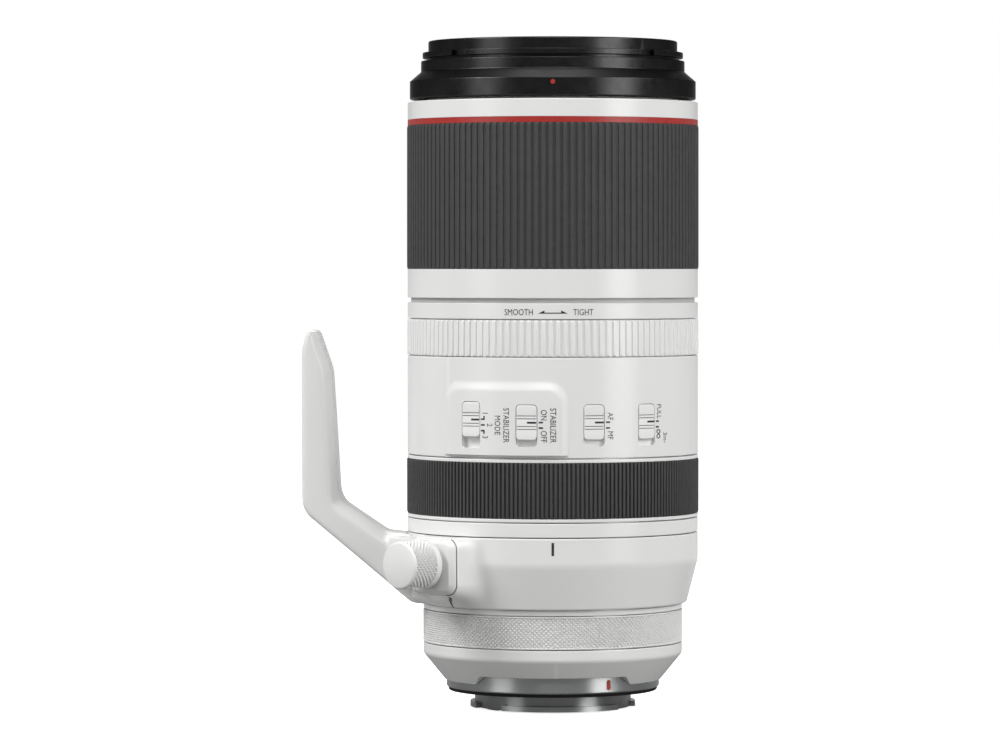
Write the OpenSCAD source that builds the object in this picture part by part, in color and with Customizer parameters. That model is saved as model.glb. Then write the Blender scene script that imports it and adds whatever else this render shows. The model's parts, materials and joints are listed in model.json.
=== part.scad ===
// Tele zoom lens for a mirrorless camera, with a rotating tripod collar.
// The optical axis is +Z, the camera flange's register face is z = 0, the foot points to -X
// and the switches face -Y. Angles are measured from -Y towards +X.

/* [Barrel] */
// Outer diameter of the white barrel rings
barrel_d = 93.4; // [93:0.1:94.4]
// Length from the camera flange to the front rim
lens_len = 207.6; // [206:0.1:211]
// Outer diameter of the narrower rear body
rear_d = 83.2; // [82.8:0.1:83.6]
// Wall of the nested inner tubes
tube_wall = 1.4; // [1.3:0.05:1.5]
// Height that the ribbed rubber stands over the white rings
grip_rise = 0.2; // [0.1:0.05:0.3]
// Thickness of the rubber grips
grip_t = 1.5; // [1.3:0.1:1.7]

/* [Ring heights] */
// Top of the rear cover
rear_top = 14.8; // [14:0.1:15.6]
// Height of the control ring
control_h = 10.3; // [9:0.1:11]
// Height of the stop ring behind the collar
stop_h = 1.6; // [1.2:0.1:2]
// Height of the tripod collar
collar_h = 22.6; // [21:0.1:24]
// Height of the white ring in front of the collar
body_ring_h = 4.4; // [3.6:0.1:5.2]
// Height of the focus ring
focus_h = 19.8; // [18:0.1:22]
// Height of the switch panel
panel_h = 31.5; // [30:0.1:33]
// Height of the tension ring
tension_h = 11.4; // [10:0.1:13]
// Height of the scale band in front of the tension ring
scale_h = 5; // [4:0.1:6]
// Height of the plain band at the back of the zoom ring
zoom_band_h = 9.2; // [8:0.1:10]
// Height of the name band at the front of the zoom ring
name_band_h = 5.7; // [5:0.1:6.5]
// Height of the red ring
red_h = 1.8; // [1.4:0.1:2.2]
// Length of the black front ring
front_h = 18.8; // [18:0.1:20]

/* [Zoom mechanism] */
// Turn of the zoom ring
zoom_angle = 90; // [80:1:95]
// Length of the tubes in front of the front rollers at full zoom
cam_end_room = 18.7; // [16.7:0.1:26.7]
// Travel of the variator group
variator_travel = 36; // [30:1:38]
// Diameter of the cam rollers
roller_d = 5; // [4.4:0.1:5.4]
// Room between a roller and the sides of its slot, in all
roller_room = 0.6; // [0.5:0.1:0.8]

/* [Ribs] */
// Ribs around the zoom grip
zoom_ribs = 128; // [112:1:144]
// Ribs around the tension ring
tension_ribs = 124; // [108:1:140]
// Ribs around the focus grip
focus_ribs = 204; // [180:1:216]
// Depth of the rib grooves
rib_depth = 0.7; // [0.4:0.1:0.9]

/* [Front] */
// Diameter of the filter thread
filter_d = 77; // [76.4:0.1:77.4]
// Depth of the filter thread
filter_depth = 6.5; // [5:0.5:6.5]
// Diameter of the front lens
front_lens_d = 73; // [71:0.5:74]

/* [Camera mount] */
// Outer diameter of the mount flange
flange_d = 68.4; // [68:0.1:68.8]
// Height of the mount flange
flange_h = 5.6; // [5.2:0.1:6]
// Outer diameter of the bayonet tube
bayonet_d = 50.2; // [50:0.1:50.6]
// Diameter over the bayonet lugs
lug_d = 53; // [52.6:0.1:53.4]
// Depth of the bayonet tube below the register face
bayonet_h = 5.9; // [5.6:0.1:6.2]
// Thickness of the bayonet lugs
lug_t = 1.7; // [1.4:0.1:2]

/* [Tripod foot] */
// Distance from the optical axis to the foot's flat face
foot_reach = 80.2; // [78:0.2:84]
// Width of the foot
foot_w = 26; // [24:0.5:28]
// Height of the foot's tip over the flange
foot_tip = 115; // [112:0.5:118]
// Bevel along the foot's inner edges
foot_bevel = 3.2; // [2.6:0.1:3.6]
// Diameter of the tripod thread
thread_d = 6.35; // [6:0.05:6.6]
// Depth of the tripod thread
thread_depth = 8; // [6:0.5:9]
// Height of the tripod thread over the flange
thread_z = 84; // [80:0.5:90]

/* [Lock knob] */
// Diameter of the lock knob
knob_d = 15.1; // [14:0.1:16]
// Length of the lock knob
knob_len = 12; // [11:0.1:13]
// Angle of the lock knob around the barrel
knob_angle = -44; // [-46:0.5:-42]
// Width of the pad behind the knob
pad_w = 19.8; // [19.2:0.1:20.6]
// Height of the pad behind the knob
pad_h = 17.4; // [16.6:0.1:18]
// Distance from the optical axis to the pad's face
pad_reach = 55.6; // [55:0.1:56.4]

/* [Switches] */
// Width of a switch knob
switch_w = 6.5; // [6:0.1:7]
// Height of a switch knob
switch_h = 10.9; // [10.4:0.1:11.4]
// Travel of a two-position switch
switch_travel = 1.9; // [1.6:0.1:2.2]
// Travel of the three-position mode switch
mode_travel = 3.3; // [3:0.1:3.6]
// Height of the switch slots' upper end over the panel's lower edge
switch_top = 16.7; // [16.2:0.1:17.4]
// Height that the raised pad stands over the panel
panel_rise = 0.8; // [0.6:0.1:1]

/* [Clearances] */
// Radial gap between nested tubes that move
tube_gap = 0.3; // [0.25:0.05:0.35]
// Gap between neighbouring rings along the axis
seam_gap = 0.3; // [0.2:0.05:0.4]
// Radial running clearance of the turning rings
run_gap = 0.06; // [0.03:0.01:0.09]
// Gap where a fixed piece is seated in another
seat_gap = 0.05; // [0.03:0.01:0.08]

/* [Hidden] */
$fn = 96;
barrel_r = barrel_d / 2;
rear_r = rear_d / 2;
grip_r = barrel_r + grip_rise;
grip_seat_r = grip_r - grip_t;
eps = 0.01;
over = 1;

// Heights of the ring stack, from the flange to the front
control_z0 = rear_top + seam_gap;
control_z1 = control_z0 + control_h;
stop_z0 = control_z1 + seam_gap;
stop_z1 = stop_z0 + stop_h;
collar_z0 = stop_z1 + seam_gap;
collar_z1 = collar_z0 + collar_h;
body_ring_z0 = collar_z1 + seam_gap;
body_ring_z1 = body_ring_z0 + body_ring_h;
focus_z0 = body_ring_z1 + seam_gap;
focus_z1 = focus_z0 + focus_h;
panel_z0 = focus_z1 + seam_gap;
panel_z1 = panel_z0 + panel_h;
tension_z0 = panel_z1 + seam_gap;
tension_z1 = tension_z0 + tension_h;
scale_z0 = tension_z1 + seam_gap;
scale_z1 = scale_z0 + scale_h;
zoom_gap = 1.5;
zoom_z0 = scale_z1 + zoom_gap;
zoom_z1 = lens_len - front_h - 0.8;
zoom_grip_z0 = zoom_z0 + zoom_band_h;
red_z1 = zoom_z1 - name_band_h;
red_z0 = red_z1 - red_h;
front_z0 = lens_len - front_h;

// Radii of the nested tubes, from the zoom shell inwards
zoom_shell_ri = grip_seat_r - tube_wall;
cam_ro = zoom_shell_ri - seat_gap;
cam_ri = cam_ro - tube_wall;
guide_ro = cam_ri - tube_gap;
guide_ri = guide_ro - tube_wall;
ext_ro = guide_ri - tube_gap;
ext_ri = ext_ro - tube_wall;
group_ro = ext_ri - tube_gap;

// Radii of the main barrel's bearings
control_bearing_r = rear_r - 2.1;
collar_bearing_r = rear_r - 0.6;
focus_bearing_r = grip_seat_r - 0.9;
neck_ri = cam_ro + tube_gap;
neck_ro = barrel_r - 1.65;

// Zoom mechanism: heights of tubes and rollers at rest
panel_floor_t = 1.7;
cam_z0 = panel_z0 + panel_floor_t + tube_gap;
cam_z1 = zoom_z1 - 2;
guide_z0 = panel_z0 - 14;
guide_z1 = cam_z1;
ext_z0 = cam_z0 + 2;
ext_z1 = lens_len - 9.4;
front_roller_z = ext_z0 + 4;
front_travel = cam_z1 - front_roller_z - cam_end_room;
variator_roller_z = front_roller_z + front_travel - variator_travel + 5;
slot_w = roller_d + roller_room;
variator_offset = 25;
key_offset = -20;
key_z = zoom_z0 + 2.6;
key_r = 2;
slot_end = roller_d / 2 + 1;
slot_slices = 30;
thirds = [0, 120, 240];

// Front end
filter_r = filter_d / 2;
front_lens_r = front_lens_d / 2;
cell_z0 = front_z0 - 9;
bezel_r = 37.2;
hood_lug_r = 41.9;
hood_collar_r = 42.4;
skirt_r = barrel_r - 0.7;

// Rear end
flange_r = flange_d / 2;
bayonet_r = bayonet_d / 2;
lug_r = lug_d / 2;
throat_r = bayonet_r - 1.5;
register_r = flange_r - 1.6;
gasket_t = 1.1;
gasket_rebate = 0.5;
foot_drop = 0.4;
plate_t = 3;
plate_z1 = flange_h + plate_t;
throat_wall = 1.2;
baffle_ri = throat_r - 5.6;
baffle_ro = baffle_ri + throat_wall;
rear_lens_r = baffle_ro - 0.2;
rear_shell_r = flange_r + 2.3;
rear_notch = 40;
rear_cone_z0 = 2.9;
rear_cone_z1 = rear_top - 3.5;
screw_circle_r = 29.5;
mount_screw_r = 1;
mount_head_r = 1.9;
mount_head_t = 1.15;
cell_ro = 32;
cell_wall = 2;
cell_ri = cell_ro - cell_wall;
cell_flange_t = 1.5;
cell_top = collar_z1 - 4;
cell_rim_r = collar_bearing_r - 2 - seat_gap;
lip_t = 1.5;
stab_z0 = 14;
iris_z0 = 28;
rod_r = 1.5;
rod_circle_r = 34;
focus_group_z = cell_top + 8;
focus_group_h = 8;

// Tripod collar and lock
knob_z = (collar_z0 + collar_z1) / 2 + 3.2;
stud_r = 2.5;
shoe_r = 4;
shoe_lift = 0.4;
shoe_t = 2.2;
pad_z = knob_z - 0.9;
knob_back = pad_reach + 1.6;
foot_screw_z = [collar_z0 + 6, collar_z0 + 16];
foot_screw_r = 1.5;
foot_head_r = 2.6;
collar_cone_z1 = collar_z0 + 13.9;
collar_small_r = barrel_r - 3.6;

// Switches
switch_floor_r = barrel_r - 1.4;
pad_top_z = panel_z0 + 21.2;
pad_bevel_h = 3;
pad_r = barrel_r + panel_rise;
pad_from = -47;
pad_to = 6;
mode_angle = -32.8;
stabilizer_angle = -10;
focus_mode_angle = 16.1;
range_angle = 39.2;
mode_top = switch_top + 0.8;

white = "#e4e4e2";
rubber = "#3c3c3d";
black = "#1c1c1d";
metal = "#8d9190";
steel = "#b9bcbc";
red = "#c8202c";
glass = "#6f8f96";
gold = "#c9a552";

// Shared shapes

// Plain ring between two radii and two heights
module ring(ro, ri, z0, z1) {
    translate([0, 0, z0])
        difference() {
            cylinder(r = ro, h = z1 - z0);
            translate([0, 0, -over]) cylinder(r = ri, h = z1 - z0 + 2 * over);
        }
}

// Solid of revolution of an outline given as [radius, height] points
module turned(outline) {
    rotate_extrude() polygon(outline);
}

// Children placed on the barrel with their own +Z pointing outwards
module radial(angle, z) {
    rotate([0, 0, angle]) translate([0, 0, z]) rotate([90, 0, 0]) children();
}

// Part of a ring between two angles
module sector(ro, ri, z0, z1, from, to) {
    rotate([0, 0, from - 90])
        rotate_extrude(angle = to - from) translate([ri, z0]) square([ro - ri, z1 - z0]);
}

// Ring with straight ribs: a V-shaped groove beside each land
module ribbed_ring(ro, ri, z0, z1, count, depth) {
    step = 360 / count;
    land = 0.62;
    translate([0, 0, z0])
        difference() {
            linear_extrude(z1 - z0)
                polygon([for (i = [0 : count - 1], p = [[0, 0], [land, 0], [(1 + land) / 2, depth]])
                    (ro - p[1]) * [cos((i + p[0]) * step), sin((i + p[0]) * step)]]);
            translate([0, 0, -over]) cylinder(r = ri, h = z1 - z0 + 2 * over, $fn = 256);
        }
}

// Lens between two spherical faces; a negative radius is a hollow face
module lens(r, z0, z1, lower_r, upper_r) {
    difference() {
        intersection() {
            translate([0, 0, z0]) cylinder(r = r, h = z1 - z0);
            if (upper_r > 0) translate([0, 0, z1 - upper_r]) sphere(r = upper_r, $fn = 180);
            if (lower_r > 0) translate([0, 0, z0 + lower_r]) sphere(r = lower_r, $fn = 180);
        }
        if (upper_r < 0) translate([0, 0, z1 - upper_r - 2]) sphere(r = -upper_r, $fn = 180);
        if (lower_r < 0) translate([0, 0, z0 + lower_r + 2]) sphere(r = -lower_r, $fn = 180);
    }
}

// Points of an arc in a plane, from one angle to another
function arc(center, r, from, to, steps = 8) =
    [for (i = [0 : steps])
        let (angle = from + (to - from) * i / steps)
        center + r * [cos(angle), sin(angle)]];

// Camera mount

module mount_flange() {
    lug_z1 = lug_t - bayonet_h;
    color(metal)
        difference() {
            union() {
                turned([[throat_r, -bayonet_h], [bayonet_r - 0.3, -bayonet_h], [bayonet_r, 0.3 - bayonet_h],
                    [bayonet_r, 0], [register_r, 0], [register_r, gasket_rebate],
                    [flange_r - 0.4, gasket_rebate], [flange_r, gasket_rebate + 0.4], [flange_r, flange_h],
                    [throat_r, flange_h]]);
                for (a = thirds) sector(lug_r, bayonet_r - 0.5, -bayonet_h, lug_z1, a - 38, a + 52);
            }
            for (a = [45 : 90 : 315]) rotate([0, 0, a]) translate([screw_circle_r, 0, 0]) {
                translate([0, 0, -over]) cylinder(r = mount_screw_r + seat_gap, h = flange_h + 2 * over);
                translate([0, 0, -over])
                    cylinder(r = mount_head_r + seat_gap, h = mount_head_t + 0.2 + over);
            }
            mount_pip_shape(seat_gap, 1);
        }
}

// Screws that hold the flange to the main barrel
module mount_screws() {
    color(steel)
        for (a = [45 : 90 : 315]) rotate([0, 0, a]) translate([screw_circle_r, 0, 0.2])
            difference() {
                union() {
                    cylinder(r = mount_head_r, h = mount_head_t);
                    cylinder(r = mount_screw_r, h = flange_h + plate_t - 0.5);
                }
                for (t = [0, 90]) rotate([0, 0, t]) translate([-1.1, -0.2, -over])
                    cube([2.2, 0.4, 0.6 + over]);
            }
}

// Rubber seal around the register face
module mount_gasket() {
    color(black)
        turned([[register_r + seat_gap, gasket_rebate], [register_r + seat_gap + gasket_t, gasket_rebate],
            [register_r + seat_gap + 0.7, -0.6], [register_r + seat_gap + 0.2, -0.6]]);
}

// Capsule-shaped pip that is set into the flange's edge
module mount_pip_shape(grow, out) {
    pip_r = 0.7 + grow;
    radial(31, 0) translate([0, 0, flange_r - 0.5 - grow])
        linear_extrude(0.5 + grow + out) {
            translate([0, 2.2]) circle(pip_r);
            translate([0, 4]) circle(pip_r);
            translate([-pip_r, 2.2]) square([2 * pip_r, 1.8]);
        }
}

module mount_index_pip() {
    color(red) mount_pip_shape(0, 0.02);
}

contact_from = 146;
contact_to = 214;
contact_z0 = -bayonet_h + 0.6;

// Moulded block that carries the electrical contacts
module contact_block() {
    color(black)
        difference() {
            sector(throat_r - seat_gap, baffle_ro + seat_gap, contact_z0, flange_h, contact_from,
                contact_to);
            for (i = [0 : 11]) radial(contact_angle(i), 0) translate([0, contact_z0 - over, contact_r])
                rotate([-90, 0, 0]) cylinder(r = 0.55 + seat_gap, h = 2 + over, $fn = 24);
        }
}

contact_r = (throat_r + baffle_ro) / 2;
function contact_angle(i) = contact_from + 6 + i * (contact_to - contact_from - 12) / 11;

module contact_pins() {
    color(gold)
        for (i = [0 : 11]) radial(contact_angle(i), 0) translate([0, contact_z0 - 0.2, contact_r])
            rotate([-90, 0, 0]) cylinder(r = 0.55, h = 2, $fn = 24);
}

// Light baffle in the throat, with the small feet below the bayonet tube
module rear_baffle() {
    floor_z = -bayonet_h + 0.3;
    color(black) {
        ring(baffle_ro, baffle_ri, floor_z, flange_h - 0.6);
        difference() {
            sector(throat_r - seat_gap, baffle_ri + 0.5, floor_z + 0.1, floor_z + 1.2, contact_to + 2,
                contact_from + 358);
            for (a = [-80, 100]) radial(a, 0) translate([0, floor_z - over, contact_r])
                rotate([-90, 0, 0]) cylinder(r = 0.7, h = 1.2 + 2 * over);
        }
        for (a = [-56, 53, 127, -127])
            sector(throat_r - seat_gap - 0.1, throat_r - 3, -bayonet_h - foot_drop, floor_z + 0.6, a - 7,
                a + 7);
    }
}

module rear_lens() {
    color(glass) lens(rear_lens_r, flange_h - 0.5, plate_z1 + 2, 60, -80);
}

// Fixed barrel

// White rear cover, a cone with a relief in front of the mounting pip
module rear_cover() {
    shelf_z = flange_h + 2;
    color(white)
        difference() {
            turned([[flange_r + seat_gap, rear_cone_z0], [flange_r + 0.5, rear_cone_z0],
                [rear_r, rear_cone_z1], [rear_r, rear_top - 0.3], [rear_r - 0.3, rear_top],
                [rear_shell_r + seat_gap, rear_top], [rear_shell_r + seat_gap, shelf_z],
                [flange_r + seat_gap, shelf_z]]);
            intersection() {
                sector(rear_r, flange_r - over, rear_cone_z0 - over, flange_h, -rear_notch - 4,
                    rear_notch + 4);
                hull() {
                    notch_line(rear_notch + 4, rear_cone_z0 - over);
                    notch_line(rear_notch, flange_h + 0.4);
                }
            }
        }
}

// Thin bar as wide as the relief at one height
module notch_line(half_angle, z) {
    half_w = flange_r * sin(half_angle);
    translate([-half_w, -rear_r, z]) cube([2 * half_w, rear_r, eps]);
}

// Metal tube that carries everything: it bears the control ring, the collar and the focus ring
module main_barrel() {
    bore = collar_bearing_r - 2;
    top_bore = guide_ro + seat_gap;
    color(metal)
        difference() {
            turned([[rear_lens_r + seat_gap, flange_h], [flange_r, flange_h],
                [flange_r, flange_h + 2 + seat_gap], [rear_shell_r, flange_h + 2 + seat_gap],
                [rear_shell_r, rear_top], [control_bearing_r, rear_top], [control_bearing_r, stop_z1],
                [collar_bearing_r, stop_z1], [collar_bearing_r, body_ring_z0],
                [focus_bearing_r, body_ring_z0], [focus_bearing_r, panel_z0], [top_bore, panel_z0],
                [top_bore, guide_z0 - seat_gap], [bore, guide_z0 - seat_gap - 2], [bore, stop_z1 + 2],
                [rear_shell_r - 2, stop_z1], [rear_shell_r - 2, plate_z1],
                [rear_lens_r + seat_gap, plate_z1]]);
            for (a = [45 : 90 : 315]) rotate([0, 0, a]) translate([screw_circle_r, 0, flange_h - over])
                cylinder(r = mount_screw_r + seat_gap, h = plate_t + 2 * over);
        }
}

// Dark tube that holds the stabiliser and the diaphragm
module rear_cell() {
    color(black) {
        ring(rear_shell_r - 2 - seat_gap, rear_lens_r + 1, plate_z1, plate_z1 + cell_flange_t);
        ring(cell_ro, cell_ri, plate_z1, cell_top);
        for (z = [stab_z0, iris_z0]) ring(cell_ri + eps, cell_ri - 3, z - lip_t, z);
        difference() {
            ring(cell_rim_r, cell_ri, cell_top - 2, cell_top);
            for (a = [60, 240]) rotate([0, 0, a]) translate([rod_circle_r, 0, cell_top - 2 - over])
                cylinder(r = rod_r + seat_gap, h = 2 + 2 * over);
        }
    }
}

// Ring-shaped circuit board behind the control ring
module main_board() {
    color("#2f6b46")
        difference() {
            ring(rear_shell_r - 2.2, cell_ro + 0.2, plate_z1 + cell_flange_t + seat_gap,
                plate_z1 + cell_flange_t + 1.6);
            radial(180, plate_z1) translate([-4, -over, cell_ro - over]) cube([8, 5, 2 + over]);
        }
}

// Stabiliser: a carrier that shifts sideways in a frame, and a lens that shifts in the carrier
stab_room = 0.8;
stab_wall_r = cell_ri - seat_gap - 2;
stab_carrier_r = stab_wall_r - stab_room;
stab_lens_r = stab_carrier_r - 3.2 - stab_room;

module stabilizer_frame() {
    color(metal)
        turned([[stab_lens_r - 0.6, stab_z0], [cell_ri - seat_gap, stab_z0],
            [cell_ri - seat_gap, stab_z0 + 9], [stab_wall_r, stab_z0 + 9], [stab_wall_r, stab_z0 + 1.5],
            [stab_lens_r - 0.6, stab_z0 + 1.5]]);
}

module stabilizer_carrier() {
    z0 = stab_z0 + 1.6;
    color(black)
        turned([[stab_lens_r - 1, z0], [stab_carrier_r, z0], [stab_carrier_r, z0 + 6.6],
            [stab_carrier_r - 3.2, z0 + 6.6], [stab_carrier_r - 3.2, z0 + 1.2],
            [stab_lens_r - 1, z0 + 1.2]]);
}

module stabilizer_lens() {
    color(glass) lens(stab_lens_r, stab_z0 + 2.9, stab_z0 + 8.6, 0, 70);
}

// Diaphragm
iris_r = 20;
iris_h = 4.5;
iris_wall_r = cell_ri - seat_gap - 1.5;

module iris_housing() {
    color(black)
        turned([[iris_r, iris_z0], [cell_ri - seat_gap, iris_z0], [cell_ri - seat_gap, iris_z0 + iris_h],
            [iris_wall_r, iris_z0 + iris_h], [iris_wall_r, iris_z0 + 1], [iris_r, iris_z0 + 1]]);
}

// Nine curved blades, each on its own level
module iris_blades() {
    blade_t = 0.16;
    level = 0.26;
    color("#2a2a2c")
        for (i = [0 : 8]) rotate([0, 0, i * 40])
            translate([2.4, 0, 0]) sector(iris_r + 5.6, iris_r - 1.2, iris_z0 + 1.1 + i * level,
                iris_z0 + 1.1 + i * level + blade_t, 40, 140);
}

module iris_cover() {
    color(metal) ring(iris_wall_r - seat_gap, iris_r, iris_z0 + iris_h - 1, iris_z0 + iris_h);
}

// Focus drive: a cell on two rods beside a linear motor
module focus_rods() {
    color(steel)
        for (a = [60, 240]) rotate([0, 0, a]) translate([rod_circle_r, 0, cell_top - 2])
            cylinder(r = rod_r, h = focus_group_z + focus_group_h + 16 - cell_top);
}

module focus_motor() {
    color(metal) {
        radial(60, cell_top) translate([-5, 0, cell_ri + 0.5]) cube([10, 20, 6]);
        radial(60, cell_top) translate([-3, 3, cell_ri - 1.2]) cube([6, 12, 2]);
    }
}

focus_lens_r = cell_ri - 5;

module focus_cell() {
    color(black)
        difference() {
            union() {
                ring(cell_ri - 2.5, focus_lens_r + seat_gap, focus_group_z, focus_group_z + focus_group_h);
                ring(cell_ri - 2.5, focus_lens_r - 1, focus_group_z, focus_group_z + 1.2);
                for (a = [60, 240]) rotate([0, 0, a]) translate([rod_circle_r, 0, focus_group_z])
                    hull() {
                        cylinder(r = rod_r + 1.6, h = focus_group_h, $fn = 32);
                        translate([cell_ri - 4 - rod_circle_r, 0, 0])
                            cylinder(r = 1.2, h = focus_group_h, $fn = 32);
                    }
            }
            for (a = [60, 240]) rotate([0, 0, a]) translate([rod_circle_r, 0, focus_group_z - over])
                cylinder(r = rod_r + run_gap, h = focus_group_h + 2 * over);
            translate([0, 0, focus_group_z + 1.2]) cylinder(r = focus_lens_r + seat_gap, h = focus_group_h);
        }
}

module focus_lens() {
    color(glass) lens(focus_lens_r, focus_group_z + 1.2, focus_group_z + focus_group_h - 1, 0, -70);
}

module stop_ring() {
    color(white) ring(rear_r, control_bearing_r + seat_gap, stop_z0, stop_z1);
}

module body_ring() {
    color(white)
        turned([[focus_bearing_r + seat_gap, body_ring_z0], [barrel_r - 0.2, body_ring_z0],
            [barrel_r, body_ring_z0 + 0.2], [barrel_r, body_ring_z1 - 0.2], [barrel_r - 0.2, body_ring_z1],
            [focus_bearing_r + seat_gap, body_ring_z1]]);
}

// Switch panel

switch_room = 0.12;
neck_z1 = zoom_z0 - 0.4;

// Space in the panel that a switch knob slides in
module switch_slot(angle, top, travel) {
    slot_h = switch_h + travel + 2 * switch_room;
    radial(angle, panel_z0 + top + switch_room - slot_h)
        translate([-switch_w / 2 - switch_room, 0, switch_floor_r])
            cube([switch_w + 2 * switch_room, slot_h, grip_t + panel_rise + over]);
}

// Switch knob at the upper end of its slot, with four fine grip lines
module switch_knob(angle, top, top_r) {
    color(white)
        radial(angle, panel_z0 + top - switch_h)
            difference() {
                translate([-switch_w / 2, 0, switch_floor_r + switch_room])
                    cube([switch_w, switch_h, top_r - switch_floor_r]);
                for (f = [0.33, 0.39, 0.61, 0.67])
                    translate([-switch_w, f * switch_h - 0.1, top_r + switch_room - 0.15])
                        cube([2 * switch_w, 0.2, over]);
            }
}

// Barrel section that carries the switches, with the neck that the tension ring turns on
module panel_shell() {
    color(white)
        difference() {
            union() {
                turned([[guide_ro + seat_gap, panel_z0], [barrel_r - 0.2, panel_z0],
                    [barrel_r, panel_z0 + 0.2], [barrel_r, panel_z1 - 0.2], [barrel_r - 0.2, panel_z1],
                    [neck_ro, panel_z1], [neck_ro, neck_z1], [neck_ri, neck_z1],
                    [neck_ri, panel_z0 + panel_floor_t], [guide_ro + seat_gap, panel_z0 + panel_floor_t]]);
                rotate([0, 0, pad_from - 90]) rotate_extrude(angle = pad_to - pad_from)
                    polygon([[barrel_r - 0.5, panel_z0 + 0.6], [pad_r, panel_z0 + 0.6], [pad_r, pad_top_z],
                        [barrel_r, pad_top_z + pad_bevel_h], [barrel_r - 0.5, pad_top_z + pad_bevel_h]]);
            }
            switch_slot(mode_angle, mode_top, mode_travel);
            for (a = [stabilizer_angle, focus_mode_angle, range_angle])
                switch_slot(a, switch_top, switch_travel);
        }
}

module mode_switch() {
    switch_knob(mode_angle, mode_top, pad_r);
}

module stabilizer_switch() {
    switch_knob(stabilizer_angle, switch_top, pad_r);
}

module focus_mode_switch() {
    switch_knob(focus_mode_angle, switch_top, barrel_r);
}

module range_switch() {
    switch_knob(range_angle, switch_top, barrel_r);
}

module scale_band() {
    color(white)
        turned([[neck_ro + seat_gap, scale_z0], [barrel_r - 0.2, scale_z0], [barrel_r, scale_z0 + 0.2],
            [barrel_r, scale_z1 - 0.4], [barrel_r - 0.4, scale_z1], [neck_ro + seat_gap, scale_z1]]);
}

module tension_ring() {
    color(white)
        ribbed_ring(barrel_r + 0.15, neck_ro + run_gap, tension_z0, tension_z1, tension_ribs, rib_depth / 2);
}

// Focus ring

module focus_shell() {
    lip = 1.1;
    color(white)
        turned([[focus_bearing_r + run_gap, focus_z0], [barrel_r - 0.2, focus_z0],
            [barrel_r, focus_z0 + 0.2], [barrel_r, focus_z0 + lip], [grip_seat_r, focus_z0 + lip],
            [grip_seat_r, focus_z1 - lip], [barrel_r, focus_z1 - lip], [barrel_r, focus_z1 - 0.2],
            [barrel_r - 0.2, focus_z1], [focus_bearing_r + run_gap, focus_z1]]);
}

module focus_grip() {
    lip = 1.1;
    color(rubber)
        ribbed_ring(grip_r, grip_seat_r + seat_gap, focus_z0 + lip, focus_z1 - lip, focus_ribs,
            rib_depth * 0.8);
}

// Zoom ring, cam sleeve and guide tube

module zoom_shell() {
    color(white)
        difference() {
            turned([[zoom_shell_ri, zoom_z0], [barrel_r - 0.2, zoom_z0], [barrel_r, zoom_z0 + 0.2],
                [barrel_r, zoom_grip_z0], [grip_seat_r, zoom_grip_z0], [grip_seat_r, red_z1],
                [barrel_r, red_z1], [barrel_r, zoom_z1 - 0.2], [barrel_r - 0.2, zoom_z1],
                [zoom_shell_ri, zoom_z1]]);
            for (a = thirds) radial(a + key_offset, key_z) translate([0, 0, cam_ri])
                cylinder(r = key_r + seat_gap, h = grip_seat_r - cam_ri);
        }
}

module zoom_grip() {
    color(rubber) ribbed_ring(grip_r, grip_seat_r + seat_gap, zoom_grip_z0, red_z0, zoom_ribs, rib_depth);
}

module red_ring() {
    color(red) ring(barrel_r, grip_seat_r + seat_gap, red_z0, red_z1);
}

// Keys that make the cam sleeve turn with the zoom ring
module zoom_keys() {
    color(steel)
        for (a = thirds) radial(a + key_offset, key_z) translate([0, 0, cam_ri + seat_gap])
            cylinder(r = key_r, h = grip_seat_r - cam_ri - 2 * seat_gap);
}

// Helical slot that lifts a roller by travel while the sleeve makes its whole turn
module cam_slot(angle, z, travel) {
    mid_r = (cam_ri + cam_ro) / 2;
    slope = atan2(travel, mid_r * zoom_angle * PI / 180);
    width = slot_w / sin(slope);
    end_angle = slot_end * zoom_angle / travel;
    translate([0, 0, z - slot_end])
        rotate([0, 0, angle - 90 + end_angle])
            linear_extrude(height = travel + 2 * slot_end, twist = zoom_angle + 2 * end_angle,
                slices = slot_slices,
                segments = 4)
                translate([cam_ri - over, -width / 2]) square([tube_wall + 2 * over, width]);
}

module cam_sleeve() {
    color(metal)
        difference() {
            ring(cam_ro, cam_ri, cam_z0, cam_z1);
            for (a = thirds) cam_slot(a, front_roller_z, front_travel);
            for (a = thirds) cam_slot(a + variator_offset, variator_roller_z, variator_travel);
            for (a = thirds) radial(a + key_offset, key_z) translate([0, 0, cam_ri - over])
                cylinder(r = key_r + seat_gap, h = tube_wall + 2 * over);
        }
}

// Straight slot through a tube, with round ends around the roller's two end places
module straight_slot(angle, z0, z1, width, r) {
    radial(angle, 0) translate([0, 0, r - over])
        linear_extrude(tube_wall + 2 * over) {
            translate([0, z0]) circle(width / 2);
            translate([0, z1]) circle(width / 2);
            translate([-width / 2, z0]) square([width, z1 - z0]);
        }
}

module guide_tube() {
    color(metal)
        difference() {
            ring(guide_ro, guide_ri, guide_z0, guide_z1);
            for (a = thirds)
                straight_slot(a, front_roller_z, front_roller_z + front_travel, slot_w, guide_ri);
            for (a = thirds)
                straight_slot(a + variator_offset, variator_roller_z, variator_roller_z + variator_travel,
                    slot_w, guide_ri);
        }
}

// Roller on a stem that is set into the tube or cell it drives
module roller(angle, z, base_r) {
    radial(angle, z) {
        translate([0, 0, base_r + 0.1]) cylinder(r = roller_d / 2, h = cam_ro - base_r - 0.2);
        translate([0, 0, base_r - tube_wall + 0.1]) cylinder(r = 1.2, h = tube_wall + 0.2);
    }
}

module roller_hole(angle, z, base_r) {
    radial(angle, z) translate([0, 0, base_r - tube_wall - over])
        cylinder(r = 1.2 + seat_gap, h = tube_wall + 2 * over);
}

// Front barrel

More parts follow.
